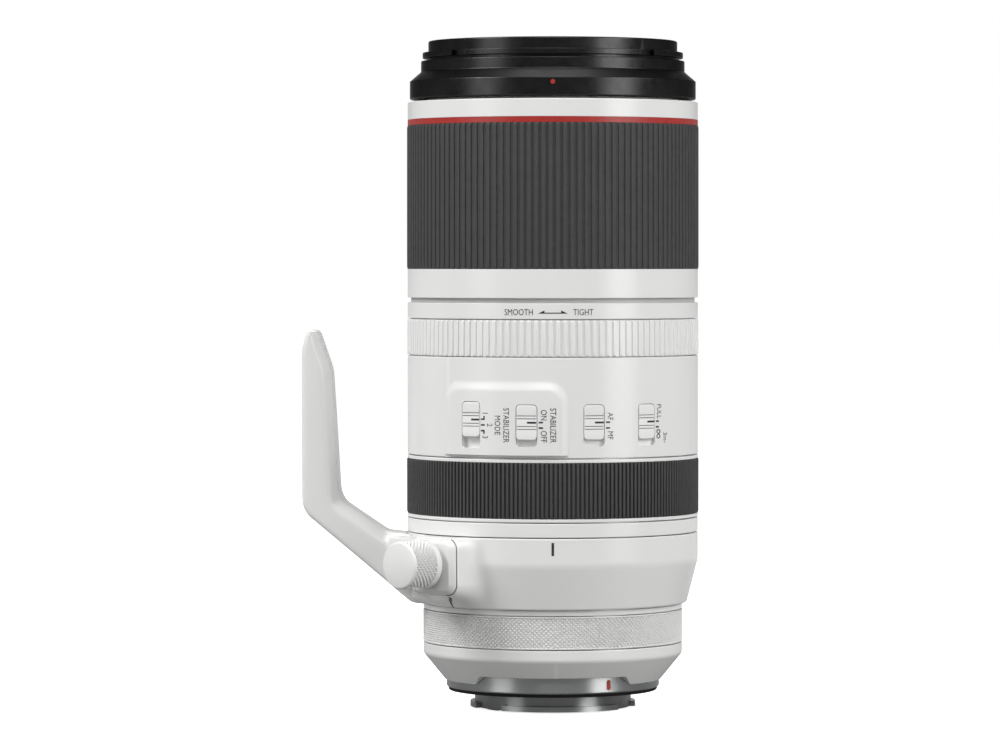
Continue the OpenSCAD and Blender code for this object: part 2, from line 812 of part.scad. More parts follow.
// Tube that slides out of the guide tube; long slots let the variator's rollers pass through it
module extension_tube() {
    slip = front_travel - variator_travel;
    color("#c9cac9")
        difference() {
            ring(ext_ro, ext_ri, ext_z0, ext_z1);
            for (a = thirds) roller_hole(a, front_roller_z, ext_ro);
            for (a = thirds)
                straight_slot(a + variator_offset, variator_roller_z - slip, variator_roller_z,
                    slot_w + 0.4, ext_ri);
        }
}

module front_rollers() {
    color(gold) for (a = thirds) roller(a, front_roller_z, ext_ro);
}

// Black front ring with the filter thread, the hood bayonet and the skirt
module front_ring() {
    lug_z = lens_len - 5.5;
    lug_top = lens_len - 3.7;
    rim_r = filter_r + 1.55;
    groove_r = rim_r - 0.35;
    collar_top = lens_len - 6.4;
    collar_low = lens_len - 9.9;
    skirt_top = lens_len - 13;
    color(black)
        difference() {
            turned([[ext_ro + seat_gap, front_z0], [skirt_r - 0.5, front_z0], [skirt_r, front_z0 + 0.5],
                [skirt_r, skirt_top], [hood_collar_r, collar_low], [hood_collar_r, collar_top],
                [groove_r, collar_top], [groove_r, lug_z], [hood_lug_r, lug_z], [hood_lug_r, lug_top],
                [rim_r, lug_top], [rim_r, lens_len - 0.4], [rim_r - 0.4, lens_len], [filter_r, lens_len],
                [filter_r, lens_len - filter_depth], [bezel_r, lens_len - filter_depth],
                [bezel_r, ext_z1 + seat_gap], [ext_ro + seat_gap, ext_z1 + seat_gap]]);
            for (a = [46, 134, 226, 314])
                sector(hood_lug_r + over, rim_r + 0.4, lug_z - 0.3, lug_top + over, a - 4, a + 4);
            index_dot_shape(seat_gap, over);
        }
}

// Round mark that shows where the hood goes on
module index_dot_shape(grow, out) {
    radial(0, lens_len - 14.4) translate([0, 0, skirt_r - 0.4 - grow])
        cylinder(r = 0.75 + grow, h = 0.4 + grow + out);
}

module front_index_dot() {
    color(red) index_dot_shape(0, 0.02);
}

cell_lip = 1.5;
lens_two_z0 = cell_z0 + cell_lip;
lens_two_z1 = lens_two_z0 + 6;
lens_one_z0 = ext_z1 - 9;
lens_one_z1 = ext_z1 - 0.5;

// Cell that holds the two front lenses
module front_cell() {
    outer = ext_ri - seat_gap;
    inner = front_lens_r + seat_gap;
    color(black)
        turned([[inner - cell_lip, cell_z0], [outer, cell_z0], [outer, ext_z1], [inner, ext_z1],
            [inner, lens_one_z0], [inner - cell_lip, lens_one_z0], [inner - cell_lip, lens_two_z1],
            [inner, lens_two_z1], [inner, lens_two_z0], [inner - cell_lip, lens_two_z0]]);
}

module front_lens() {
    color(glass) lens(front_lens_r, lens_one_z0, lens_one_z1, 0, 90);
}

module second_lens() {
    color(glass) lens(front_lens_r, lens_two_z0, lens_two_z1, 0, -120);
}

// Variator group

variator_lens_r = group_ro - 6;
variator_half = 8;

module variator_cell() {
    z0 = variator_roller_z - variator_half;
    z1 = variator_roller_z + variator_half;
    seat_r = variator_lens_r + seat_gap;
    color(black)
        difference() {
            turned([[seat_r - cell_lip, z0], [group_ro - 2, z0], [group_ro - 2, z0 + 3], [group_ro, z0 + 3],
                [group_ro, z1 - 3], [group_ro - 2, z1 - 3], [group_ro - 2, z1], [seat_r, z1],
                [seat_r, z0 + cell_lip], [seat_r - cell_lip, z0 + cell_lip]]);
            for (a = thirds) roller_hole(a + variator_offset, variator_roller_z, group_ro);
        }
}

module variator_lens() {
    z0 = variator_roller_z - variator_half + cell_lip;
    color(glass) lens(variator_lens_r, z0, z0 + 11, -90, -90);
}

module variator_rollers() {
    color(gold) for (a = thirds) roller(a + variator_offset, variator_roller_z, group_ro);
}

// Control ring and tripod collar

module control_ring() {
    color(white)
        turned([[control_bearing_r + run_gap, control_z0], [rear_r - 0.2, control_z0],
            [rear_r + 0.1, control_z0 + 0.3], [rear_r + 0.1, control_z1 - 0.3], [rear_r - 0.2, control_z1],
            [control_bearing_r + run_gap, control_z1]]);
}

shoe_r0 = collar_bearing_r + 0.15;
shoe_r1 = shoe_r0 + shoe_t;
shoe_end = shoe_r1 + shoe_lift + 0.2;

// Bores for the lock screw and its clamp shoe, along the knob's axis
module lock_bores() {
    radial(knob_angle, knob_z) {
        translate([0, 0, collar_bearing_r - over])
            cylinder(r = shoe_r + run_gap, h = shoe_end - collar_bearing_r + over);
        cylinder(r = stud_r + run_gap, h = pad_reach + over);
    }
}

// Screws that hold the foot to the collar, heads sunk in the collar's bore
module foot_screw_shapes(grow) {
    head_t = 1.6;
    for (z = foot_screw_z) radial(-90, z) {
        translate([0, 0, collar_bearing_r + 0.5 - grow])
            cylinder(r = foot_head_r + grow, h = head_t + grow);
        translate([0, 0, collar_bearing_r + 0.5]) cylinder(r = foot_screw_r + grow, h = 10 + grow);
    }
}

module foot_screw_ports() {
    for (z = foot_screw_z) radial(-90, z) translate([0, 0, collar_bearing_r - over])
        cylinder(r = foot_head_r + seat_gap, h = 2 * over);
}

module collar_ring() {
    color(white)
        difference() {
            turned([[collar_bearing_r + run_gap, collar_z0], [collar_small_r, collar_z0],
                [barrel_r, collar_cone_z1], [barrel_r, collar_z1 - 0.2], [barrel_r - 0.2, collar_z1],
                [collar_bearing_r + run_gap, collar_z1]]);
            lock_bores();
            foot_screw_shapes(seat_gap);
            foot_screw_ports();
        }
}

// Space that the foot has to leave free for the collar and the barrel in front of it
module barrel_room() {
    turned([[0, collar_z0 - over], [collar_small_r + seat_gap, collar_z0 - over],
        [collar_small_r + seat_gap, collar_z0], [barrel_r + seat_gap, collar_cone_z1],
        [barrel_r + seat_gap, collar_z1], [grip_r + tube_gap, collar_z1], [grip_r + tube_gap, foot_tip],
        [0, foot_tip]]);
}

// Side outline of the foot as corners [x, z, corner radius]: the plate, the bend and the arm
foot_bend = [-foot_reach + 12.1, 60.7];
foot_elbow = [-foot_reach + 27.4, collar_z1 + 0.1];
foot_shoulder = [-foot_reach + 9.5, foot_tip - 13];
foot_nose = [-foot_reach + 5, foot_tip];
foot_arm_end = [-barrel_r - 1.2, collar_z1 - 0.4];
foot_root = -barrel_r + 8;
foot_corners = [
    [-foot_reach, 57.4, 8],
    [-barrel_r + 1.9, collar_z0 + 0.1, 5],
    [foot_root, collar_z0 + 0.1, 0],
    [foot_root, collar_z1 - 0.4, 0],
    [foot_arm_end[0], foot_arm_end[1], 0],
    [foot_elbow[0], foot_elbow[1], 3],
    [foot_bend[0], foot_bend[1], 7],
    [foot_shoulder[0], foot_shoulder[1], 14],
    [foot_nose[0], foot_nose[1], 1.2],
    [-foot_reach + 1.7, foot_tip, 1.6],
    [-foot_reach, foot_tip - 6.5, 6]];

// Points that round one corner of an outline, given the corners before and after it
function rounded(before, corner, after) =
    let (p = [corner[0], corner[1]],
        u = ([before[0], before[1]] - p) / norm([before[0], before[1]] - p),
        v = ([after[0], after[1]] - p) / norm([after[0], after[1]] - p),
        half = acos(u * v) / 2,
        center = p + (u + v) / norm(u + v) * corner[2] / sin(half),
        start = p + u * corner[2] / tan(half) - center,
        from = atan2(start[1], start[0]),
        turn = (u[0] * v[1] - u[1] * v[0] > 0 ? -1 : 1) * (180 - 2 * half))
    corner[2] == 0 ? [p] : arc(center, corner[2], from, from + turn);

function foot_outline() =
    let (n = len(foot_corners))
    [for (i = [0 : n - 1]) each rounded(foot_corners[(i + n - 1) % n], foot_corners[i],
        foot_corners[(i + 1) % n])];

// Long prism that takes the corner off an inner edge running from one point to another
module edge_cut(from, to, bevel) {
    run = to - from;
    rise = atan2(run[1], run[0]);
    for (side = [-1, 1])
        translate([from[0], side * foot_w / 2, from[1]])
            rotate([0, -rise, 0])
                translate([norm(run) / 2, 0, 0])
                    rotate([45, 0, 0])
                        cube([norm(run) + 2, bevel * sqrt(2), bevel * sqrt(2)], center = true);
}

// Foot plate and arm with bevels along the inner edges
module foot_plate() {
    difference() {
        translate([0, foot_w / 2, 0]) rotate([90, 0, 0]) linear_extrude(foot_w)
            polygon(foot_outline());
        edge_cut(foot_arm_end, foot_elbow, foot_bevel - 0.1);
        edge_cut(foot_elbow, foot_bend, foot_bevel);
        edge_cut(foot_bend, foot_shoulder, foot_bevel - 0.1);
        edge_cut(foot_shoulder, foot_nose, foot_bevel - 0.2);
    }
}

module tripod_foot() {
    root_w = foot_w - 1;
    root_lift = 8.6;
    root_h = collar_h - root_lift - 1;
    color(white)
        difference() {
            union() {
                foot_plate();
                hull() {
                    translate([-barrel_r - 6, -root_w / 2, collar_z0 + root_lift]) cube([8, root_w, root_h]);
                    radial(knob_angle, pad_z) translate([-pad_w / 2 + 4, 0.5 - pad_h / 2, barrel_r - 6])
                        cube([pad_w - 8, pad_h - 1, pad_reach - barrel_r + 3]);
                }
                knob_pad(0, barrel_r - 6, pad_reach - 0.8);
                knob_pad(0.8, barrel_r - 6, pad_reach);
            }
            barrel_room();
            lock_bores();
            foot_screw_shapes(seat_gap);
            translate([-foot_reach - over, 0, thread_z]) rotate([0, 90, 0])
                cylinder(d = thread_d, h = thread_depth + over);
        }
}

// Pad with round corners behind the knob, between two distances from the axis
module knob_pad(inset, from_r, to_r) {
    corner = 3.4 - inset;
    half_w = pad_w / 2 - inset;
    half_h = pad_h / 2 - inset;
    radial(knob_angle, pad_z) translate([0, 0, from_r])
        linear_extrude(to_r - from_r) {
            square([2 * half_w, 2 * (half_h - corner)], center = true);
            square([2 * (half_w - corner), 2 * half_h], center = true);
            for (x = [corner - half_w, half_w - corner], y = [corner - half_h, half_h - corner])
                translate([x, y]) circle(corner);
        }
}

module foot_screws() {
    color(steel) foot_screw_shapes(0);
}

// Lock knob with its screw, turning in the pad
module lock_knob() {
    chamfer = 0.8;
    radial(knob_angle, knob_z)
        color(white)
            turned([[0, shoe_end], [stud_r, shoe_end], [stud_r, pad_reach + 0.3],
                [stud_r + 2, pad_reach + 0.3], [stud_r + 2, knob_back], [knob_d / 2 - chamfer, knob_back],
                [knob_d / 2, knob_back + chamfer], [knob_d / 2, knob_back + knob_len - chamfer],
                [knob_d / 2 - chamfer, knob_back + knob_len], [0, knob_back + knob_len]]);
}

// Brass shoe that the lock screw presses on the barrel
module clamp_shoe() {
    color(gold) radial(knob_angle, knob_z) translate([0, 0, shoe_r0]) cylinder(r = shoe_r, h = shoe_t);
}

mount_flange();
mount_screws();
mount_gasket();
mount_index_pip();
contact_block();
contact_pins();
rear_baffle();
rear_lens();
rear_cover();
main_barrel();
rear_cell();
main_board();
stabilizer_frame();
stabilizer_carrier();
stabilizer_lens();
iris_housing();
iris_blades();
iris_cover();
focus_rods();
focus_motor();
focus_cell();
focus_lens();
stop_ring();
body_ring();
panel_shell();
scale_band();
guide_tube();
zoom_shell();
zoom_grip();
red_ring();
cam_sleeve();
zoom_keys();
extension_tube();
front_rollers();
front_ring();
front_index_dot();
front_cell();
front_lens();
second_lens();
variator_cell();
variator_lens();
variator_rollers();
tension_ring();
focus_shell();
focus_grip();
control_ring();
collar_ring();
tripod_foot();
foot_screws();
lock_knob();
clamp_shoe();
mode_switch();
stabilizer_switch();
focus_mode_switch();
range_switch();
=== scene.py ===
"""A tele zoom lens that stands on its bayonet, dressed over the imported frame.

Lengths are in millimetres until a mesh is made. Angles are in degrees about the lens axis, from the
side that faces the camera, positive towards the right.
"""
import json
import math

import bmesh
import bpy
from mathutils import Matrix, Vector


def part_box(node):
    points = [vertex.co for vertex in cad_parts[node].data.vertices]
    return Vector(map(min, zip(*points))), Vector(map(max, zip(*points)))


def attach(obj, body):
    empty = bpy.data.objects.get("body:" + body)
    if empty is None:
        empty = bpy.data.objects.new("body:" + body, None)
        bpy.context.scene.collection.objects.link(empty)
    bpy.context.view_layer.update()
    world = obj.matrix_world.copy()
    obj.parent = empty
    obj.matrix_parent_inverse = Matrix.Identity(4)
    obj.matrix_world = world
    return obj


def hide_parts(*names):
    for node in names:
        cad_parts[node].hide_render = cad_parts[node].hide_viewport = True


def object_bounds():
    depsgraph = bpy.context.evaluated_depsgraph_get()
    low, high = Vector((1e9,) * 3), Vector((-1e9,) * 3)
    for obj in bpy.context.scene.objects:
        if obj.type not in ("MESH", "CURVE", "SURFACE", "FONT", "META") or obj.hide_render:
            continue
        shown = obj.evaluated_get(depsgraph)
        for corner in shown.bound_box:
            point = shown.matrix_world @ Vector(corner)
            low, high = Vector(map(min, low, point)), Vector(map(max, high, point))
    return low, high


MM = 0.001
WELD = 1e-7  # metres, for built meshes
CAD_WELD = 2e-6  # metres, for meshes from the frame
SEGMENTS = 288  # columns of a turned piece
SHARP = math.radians(38)  # edges above this angle stay sharp
SEAT = 0.05  # gap between a ring and what it sits on
MARK_LIFT = 0.04  # how far marks stand out
CAP_SHARE = 0.72  # height of capitals over the font's size
NARROW = 0.8  # width of letters over the font's own

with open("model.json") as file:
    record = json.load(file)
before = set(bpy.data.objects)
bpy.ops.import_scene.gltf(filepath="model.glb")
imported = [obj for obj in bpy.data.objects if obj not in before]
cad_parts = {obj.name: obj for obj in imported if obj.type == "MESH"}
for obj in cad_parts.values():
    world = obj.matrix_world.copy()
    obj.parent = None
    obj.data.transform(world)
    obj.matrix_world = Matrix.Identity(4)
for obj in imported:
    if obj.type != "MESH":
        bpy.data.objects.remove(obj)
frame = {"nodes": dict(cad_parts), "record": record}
nodes = frame["nodes"]
cad_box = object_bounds()


def span(node):
    """(furthest x, lowest z, highest z) of a node in millimetres; the first is a turned node's radius."""
    low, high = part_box(node)
    return high[0] / MM, low[2] / MM, high[2] / MM


BARREL_R = span("zoom_shell")[0]


def clamped(t):
    """The value, kept between 0 and 1."""
    return min(1.0, max(0.0, t))


def smooth(t):
    """Soft step from 0 to 1."""
    return t * t * (3 - 2 * t)


# Meshes

def polar(r, angle, z):
    """Point at a radius, an angle and a height."""
    a = math.radians(angle)
    return Vector((r * math.sin(a), -r * math.cos(a), z))


def mesh_object(name, points, faces):
    """Object at the origin from points in millimetres, smooth but for its sharp edges."""
    mesh = bpy.data.meshes.new(name)
    mesh.from_pydata([Vector(p) * MM for p in points], [], faces)
    work = bmesh.new()
    work.from_mesh(mesh)
    bmesh.ops.remove_doubles(work, verts=work.verts, dist=WELD)
    bmesh.ops.recalc_face_normals(work, faces=work.faces)
    work.to_mesh(mesh)
    work.free()
    mesh.shade_smooth()
    mesh.set_sharp_from_angle(angle=SHARP)
    obj = bpy.data.objects.new(name, mesh)
    bpy.context.collection.objects.link(obj)
    return obj


def finish_piece(obj, mat, body, stands_for=()):
    """Gives a piece its material, ties it to its body, and hides the nodes it stands for."""
    obj.data.materials.append(mat)
    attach(obj, body)
    if stands_for:
        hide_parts(*stands_for)
    return obj


def weighted(obj):
    """Keeps long faces flat in shading beside their narrow round edges."""
    mod = obj.modifiers.new("normals", "WEIGHTED_NORMAL")
    mod.keep_sharp = True
    return obj


def fillet(corners, steps=4):
    """Closed outline of (r, z) points from (r, z, corner radius) corners."""
    outline = []
    for i, (r, z, radius) in enumerate(corners):
        here = Vector((r, z))
        if radius == 0:
            outline.append(here)
            continue
        u = (Vector(corners[i - 1][:2]) - here).normalized()
        v = (Vector(corners[(i + 1) % len(corners)][:2]) - here).normalized()
        half = u.angle(v) / 2
        center = here + (u + v).normalized() * radius / math.sin(half)
        start = here + u * radius / math.tan(half) - center
        end = here + v * radius / math.tan(half) - center
        turn = math.atan2(start.x * end.y - start.y * end.x, start.dot(end))
        for k in range(steps + 1):
            a = turn * k / steps
            outline.append(center + Vector((start.x * math.cos(a) - start.y * math.sin(a),
                                            start.x * math.sin(a) + start.y * math.cos(a))))
    return outline


def loop_faces(columns, rows):
    """Quads of a surface that closes on itself both ways, points stored column by column."""
    return [(c * rows + r, (c + 1) % columns * rows + r,
             (c + 1) % columns * rows + (r + 1) % rows, c * rows + (r + 1) % rows)
            for c in range(columns) for r in range(rows)]


def turned(name, corners, place=polar):
    """Ring turned about an axis from a closed outline of (r, z, corner radius) corners."""
    outline = fillet(corners)
    points = [place(p.x, 360 * c / SEGMENTS, p.y) for c in range(SEGMENTS) for p in outline]
    return weighted(mesh_object(name, points, loop_faces(SEGMENTS, len(outline))))


def column_angles(middle, reach, fine, coarse=1.5):
    """Angles of a ring's columns: close together within reach of a middle, wide apart elsewhere."""
    angles = [middle - reach + fine * k for k in range(round(2 * reach / fine))]
    return angles + [middle + reach + coarse * k for k in range(round((360 - 2 * reach) / coarse))]


def swept(name, size, corner, section, place):
    """Ring round a rectangle with round corners, from a closed section of (growth, height) points."""
    half_w, half_h = size
    rings = []
    for grow, h in section:
        w, t = half_w + grow, half_h + grow
        rings.append([place(x, y, h) for x, y in round_rect(-w, w, -t, t, corner + grow, steps=8)])
    n = len(rings[0])
    points = [ring[i] for i in range(n) for ring in rings]
    return mesh_object(name, points, loop_faces(n, len(section)))


def ribbed(name, r, inner_r, z0, z1, count, depth, groove, flank, end):
    """Ring of upright ribs; groove and flank are shares of the pitch, end is the ribs' run-out."""
    rounding = [(0.0, 0.0), (0.55, 0.75), (1.0, 0.95), (1.7, 1.0)]
    section = [(0.0, 0.0)] + [(groove + t * flank, h) for t, h in rounding]
    section += [(1 - t * flank, h) for t, h in reversed(rounding[1:])]
    runs = [(end * (1 - math.cos(math.radians(a))), math.sin(math.radians(a))) for a in (0, 25, 50, 70, 90)]
    rows = [(z0 + d, s) for d, s in runs] + [(z1 - d, s) for d, s in reversed(runs)]
    points = []
    for rib in range(count):
        for t, h in section:
            a = 360 * (rib + t) / count
            points.append(polar(inner_r, a, z0))
            points += [polar(r - depth * (1 - h * s), a, z) for z, s in rows]
            points.append(polar(inner_r, a, z1))
    return mesh_object(name, points, loop_faces(count * len(section), len(rows) + 2))


def knurled(name, place, head, tail, base_r, tip_r, count, fine=6, land=0.67, margin=0.05):
    """Turned piece with a band of crossed grooves between its head and tail (r, z) outlines."""
    low, high = head[-1][1] + margin, tail[0][1] - margin
    pitch = 2 * math.pi * base_r / count
    tall = fine * max(1, round((high - low) / pitch))
    columns, rows = fine * count, len(head) + tall + 1 + len(tail)

    def height(c, j):
        """0 in the grooves, which run both ways at a slant, and 1 on the diamonds between them."""
        depths = [abs((c + turn * j) % fine / fine * 2 - 1) for turn in (1, -1)]
        return min(land, min(1 - d for d in depths)) / land

    points = []
    for c in range(columns):
        a = 360 * c / columns
        points += [place(r, a, z) for r, z in head]
        for j in range(tall + 1):
            points.append(place(base_r + (tip_r - base_r) * height(c, j), a, low + (high - low) * j / tall))
        points += [place(r, a, z) for r, z in tail]
    faces = []
    for k, (p, q, r, t) in enumerate(loop_faces(columns, rows)):
        c, j = k // rows, k % rows - len(head)
        if 0 <= j < tall:
            level = height(c, j) + height(c + 1, j + 1) < height(c + 1, j) + height(c, j + 1)
            faces += [(p, q, r), (p, r, t)] if level else [(q, r, t), (q, t, p)]
        else:
            faces.append((p, q, r, t))
    return mesh_object(name, points, faces)


def plate(name, outlines, r, angle, z, lift=MARK_LIFT, sink=0.12):
    """Thin marks wrapped on a cylinder; outlines are polygons in millimetres along and up."""
    points, faces = [], []
    for outline in outlines:
        first, n = len(points), len(outline)
        for depth in (lift, -sink):
            points += [polar(r + depth, angle + math.degrees(x / r), z + y) for x, y in outline]
        faces.append(tuple(range(first, first + n)))
        faces.append(tuple(range(first + 2 * n - 1, first + n - 1, -1)))
        for i in range(n):
            j = (i + 1) % n
            faces.append((first + i, first + n + i, first + n + j, first + j))
    return mesh_object(name, points, faces)


def prism_parts(outline, place, low, high):
    """Points and faces of an upright solid on a 2D outline; place turns (x, y, height) into a point."""
    n = len(outline)
    points = [place(x, y, h) for h in (low, high) for x, y in outline]
    faces = [tuple(reversed(range(n))), tuple(range(n, 2 * n))]
    faces += [(i, (i + 1) % n, n + (i + 1) % n, n + i) for i in range(n)]
    return points, faces


def prism(name, outline, place, low, high):
    """Upright solid on a 2D outline."""
    return mesh_object(name, *prism_parts(outline, place, low, high))


def bar(x0, x1, y0, y1):
    """Outline of a rectangle."""
    return [(x0, y0), (x1, y0), (x1, y1), (x0, y1)]


def facing(angle, z):
    """Place for a prism that stands on the barrel: x along, y up, height from the axis."""
    a = math.radians(angle)
    out = Vector((math.sin(a), -math.cos(a), 0))
    along = Vector((math.cos(a), math.sin(a), 0))
    return lambda x, y, h: along * x + Vector((0, 0, z + y)) + out * h


def round_rect(x0, x1, y0, y1, radius, steps=5):
    """Outline of a rectangle with round corners, as (x, y) points."""
    corners = [(x0, y0, radius), (x1, y0, radius), (x1, y1, radius), (x0, y1, radius)]
    return [(p.x, p.y) for p in fillet(corners, steps)]


def baked(obj):
    """Turns an object's modifiers into its mesh."""
    depsgraph = bpy.context.evaluated_depsgraph_get()
    mesh = bpy.data.meshes.new_from_object(obj.evaluated_get(depsgraph))
    obj.modifiers.clear()
    obj.data = mesh
    mesh.shade_smooth()
    mesh.set_sharp_from_angle(angle=SHARP)
    return obj


def cut(obj, tools):
    """Takes the tool solids out of an object and deletes them."""
    for tool in tools:
        mod = obj.modifiers.new("cut", "BOOLEAN")
        mod.operation = "DIFFERENCE"
        mod.solver = "EXACT"
        mod.object = tool
    baked(obj)
    for tool in tools:
        bpy.data.objects.remove(tool)
    return obj


def softened(obj, width, angle=32):
    """Small round edges on a built piece."""
    mod = obj.modifiers.new("edges", "BEVEL")
    mod.width = width * MM
    mod.segments = 2
    mod.limit_method = "ANGLE"
    mod.angle_limit = math.radians(angle)
    return weighted(obj)


def lettering(text, cap, r, angle, z, turn):
    """Points and faces of raised letters wrapped on a cylinder, turned by an angle about their middle."""
    curve = bpy.data.curves.new("letters", "FONT")
    curve.body = text
    curve.size = cap / CAP_SHARE
    curve.align_x = "CENTER"
    curve.align_y = "CENTER"
    curve.resolution_u = 3
    curve.extrude = MARK_LIFT
    maker = bpy.data.objects.new("letters", curve)
    mesh = bpy.data.meshes.new_from_object(maker)
    c, k = math.cos(math.radians(turn)), math.sin(math.radians(turn))
    points = []
    for v in mesh.vertices:
        along, up = v.co.x * NARROW, v.co.y
        x, y = along * c - up * k, along * k + up * c
        points.append(polar(r + v.co.z, angle + math.degrees(x / r), z + y))
    faces = [tuple(f.vertices) for f in mesh.polygons]
    bpy.data.objects.remove(maker)
    bpy.data.curves.remove(curve)
    bpy.data.meshes.remove(mesh)
    return points, faces


def joined(name, parts):
    """One object from several (points, faces) pairs."""
    points, faces = [], []
    for more, sides in parts:
        first = len(points)
        points += more
        faces += [tuple(first + i for i in f) for f in sides]
    return mesh_object(name, points, faces)


# Materials

def combine(tree, operation, a, b):
    """Math node on two values, each a number or a socket."""
    node = tree.nodes.new("ShaderNodeMath")
    node.operation = operation
    for socket, value in zip(node.inputs, (a, b)):
        if isinstance(value, (int, float)):
            socket.default_value = value
        else:
            tree.links.new(value, socket)
    return node.outputs[0]


class Paint:
    """Node tree of one material, with short calls for the nodes that the finishes share."""

    def __init__(self, name, color, rough, metallic=0.0):
        self.mat = bpy.data.materials.new(name)
        self.mat.use_nodes = True
        self.tree = self.mat.node_tree
        self.shader = self.tree.nodes["Principled BSDF"]
        self.shader.inputs["Base Color"].default_value = (*color, 1)
        self.shader.inputs["Roughness"].default_value = rough
        self.shader.inputs["Metallic"].default_value = metallic
        self.place = self.tree.nodes.new("ShaderNodeTexCoord").outputs["Object"]

    def link(self, source, target):
        self.tree.links.new(source, target)

    def around(self, turns, radial, along):
        """Coordinates that follow a turned surface: angle, radius and height."""
        split = self.tree.nodes.new("ShaderNodeSeparateXYZ")
        self.link(self.place, split.inputs[0])
        angle = combine(self.tree, "ARCTAN2", split.outputs["Y"], split.outputs["X"])
        flat = self.tree.nodes.new("ShaderNodeCombineXYZ")
        self.link(split.outputs["X"], flat.inputs["X"])
        self.link(split.outputs["Y"], flat.inputs["Y"])
        length = self.tree.nodes.new("ShaderNodeVectorMath")
        length.operation = "LENGTH"
        self.link(flat.outputs[0], length.inputs[0])
        join = self.tree.nodes.new("ShaderNodeCombineXYZ")
        parts = [(angle, turns), (length.outputs["Value"], radial), (split.outputs["Z"], along)]
        for socket, (value, scale) in zip(join.inputs, parts):
            self.link(combine(self.tree, "MULTIPLY", value, scale), socket)
        return join.outputs[0]

    def noise(self, size, detail=3.0, rough=0.55, vector=None):
        """Noise with features of the given size in millimetres, or at scale 1 on own coordinates."""
        node = self.tree.nodes.new("ShaderNodeTexNoise")
        node.inputs["Scale"].default_value = 1 if vector else 1 / (size * MM)
        node.inputs["Detail"].default_value = detail
        node.inputs["Roughness"].default_value = rough
        self.link(vector or self.place, node.inputs["Vector"])
        return node.outputs["Fac"]

    def ramp(self, source, stops):
        """Colour or grey level for a value, from (value, colour or level) stops."""
        node = self.tree.nodes.new("ShaderNodeValToRGB")
        while len(node.color_ramp.elements) < len(stops):
            node.color_ramp.elements.new(0.5)
        for element, (at, color) in zip(node.color_ramp.elements, stops):
            element.position = at
            element.color = (*color, 1) if isinstance(color, tuple) else (color, color, color, 1)
        self.link(source, node.inputs["Fac"])
        return node.outputs["Color"]

    def mix(self, share, a, b):
        """Blend of two colours."""
        node = self.tree.nodes.new("ShaderNodeMix")
        node.data_type = "RGBA"
        sockets = [node.inputs[0], node.inputs[6], node.inputs[7]]
        for socket, value in zip(sockets, (share, a, b)):
            if isinstance(value, (int, float)):
                socket.default_value = value
            elif isinstance(value, tuple):
                socket.default_value = (*value, 1)
            else:
                self.link(value, socket)
        return node.outputs[2]

    def edges(self, low, high):
        """1 on convex edges, 0 elsewhere; lightened there as wear, and on baked paint also as a painted
        highlight.
        """
        geometry = self.tree.nodes.new("ShaderNodeNewGeometry")
        return self.ramp(geometry.outputs["Pointiness"], [(low, 0.0), (high, 1.0)])

    def color(self, source):
        self.link(source, self.shader.inputs["Base Color"])

    def rough(self, source, low, high):
        """Roughness that follows a noise between two levels."""
        self.link(self.ramp(source, [(0.25, low), (0.75, high)]), self.shader.inputs["Roughness"])

    def bump(self, source, strength, depth):
        """Relief of the surface, its depth in millimetres."""
        node = self.tree.nodes.new("ShaderNodeBump")
        node.inputs["Strength"].default_value = strength
        node.inputs["Distance"].default_value = depth * MM
        self.link(source, node.inputs["Height"])
        self.link(node.outputs["Normal"], self.shader.inputs["Normal"])


def enamel(name, color, grain, rough):
    """Baked paint: a faint orange peel, slight tone changes, edges a little brighter as rubbed paint and as
    a painted highlight.
    """
    paint = Paint(name, color, rough)
    tone = paint.ramp(paint.noise(30, 1), [(0.2, tuple(c * 0.985 for c in color)), (0.8, color)])
    worn_and_highlit = tuple(min(1, c * 1.06) for c in color)
    # brighter edges: rubbed paint and a painted highlight
    paint.color(paint.mix(paint.edges(0.52, 0.60), tone, worn_and_highlit))
    paint.rough(paint.noise(1.5, 2), rough - 0.02, rough + 0.02)
    paint.bump(paint.noise(grain, 2), 0.06, 0.02)
    return paint.mat


def rubber(name, color, shine=0.4):
    """Moulded rubber: matt, fine grain, paler where hands polish the crowns."""
    paint = Paint(name, color, 0.7)
    tone = paint.ramp(paint.noise(6, 5), [(0.3, tuple(c * 0.85 for c in color)), (0.75, color)])
    paint.color(paint.mix(paint.edges(0.5, 0.58), tone, tuple(c * 1.2 for c in color)))
    paint.rough(paint.noise(2), 0.6, 0.8)
    paint.bump(paint.noise(0.35, 3), 0.3, 0.05)
    paint.shader.inputs["Specular IOR Level"].default_value = shine
    return paint.mat


def black_finish(name, color, rough, grain):
    """Black anodised metal: fine grain, dull at a low angle, edges rubbed to grey."""
    paint = Paint(name, color, rough, 1.0)
    tone = paint.ramp(paint.noise(9, 4), [(0.3, tuple(c * 0.85 for c in color)), (0.7, color)])
    paint.color(paint.mix(paint.edges(0.53, 0.64), tone, tuple(c * 2.5 + 0.01 for c in color)))
    paint.rough(paint.noise(3), rough - 0.05, rough + 0.06)
    paint.bump(paint.noise(grain, 2), 0.12, 0.02)
    paint.shader.inputs["Specular Tint"].default_value = (0.5, 0.5, 0.5, 1)
    return paint.mat


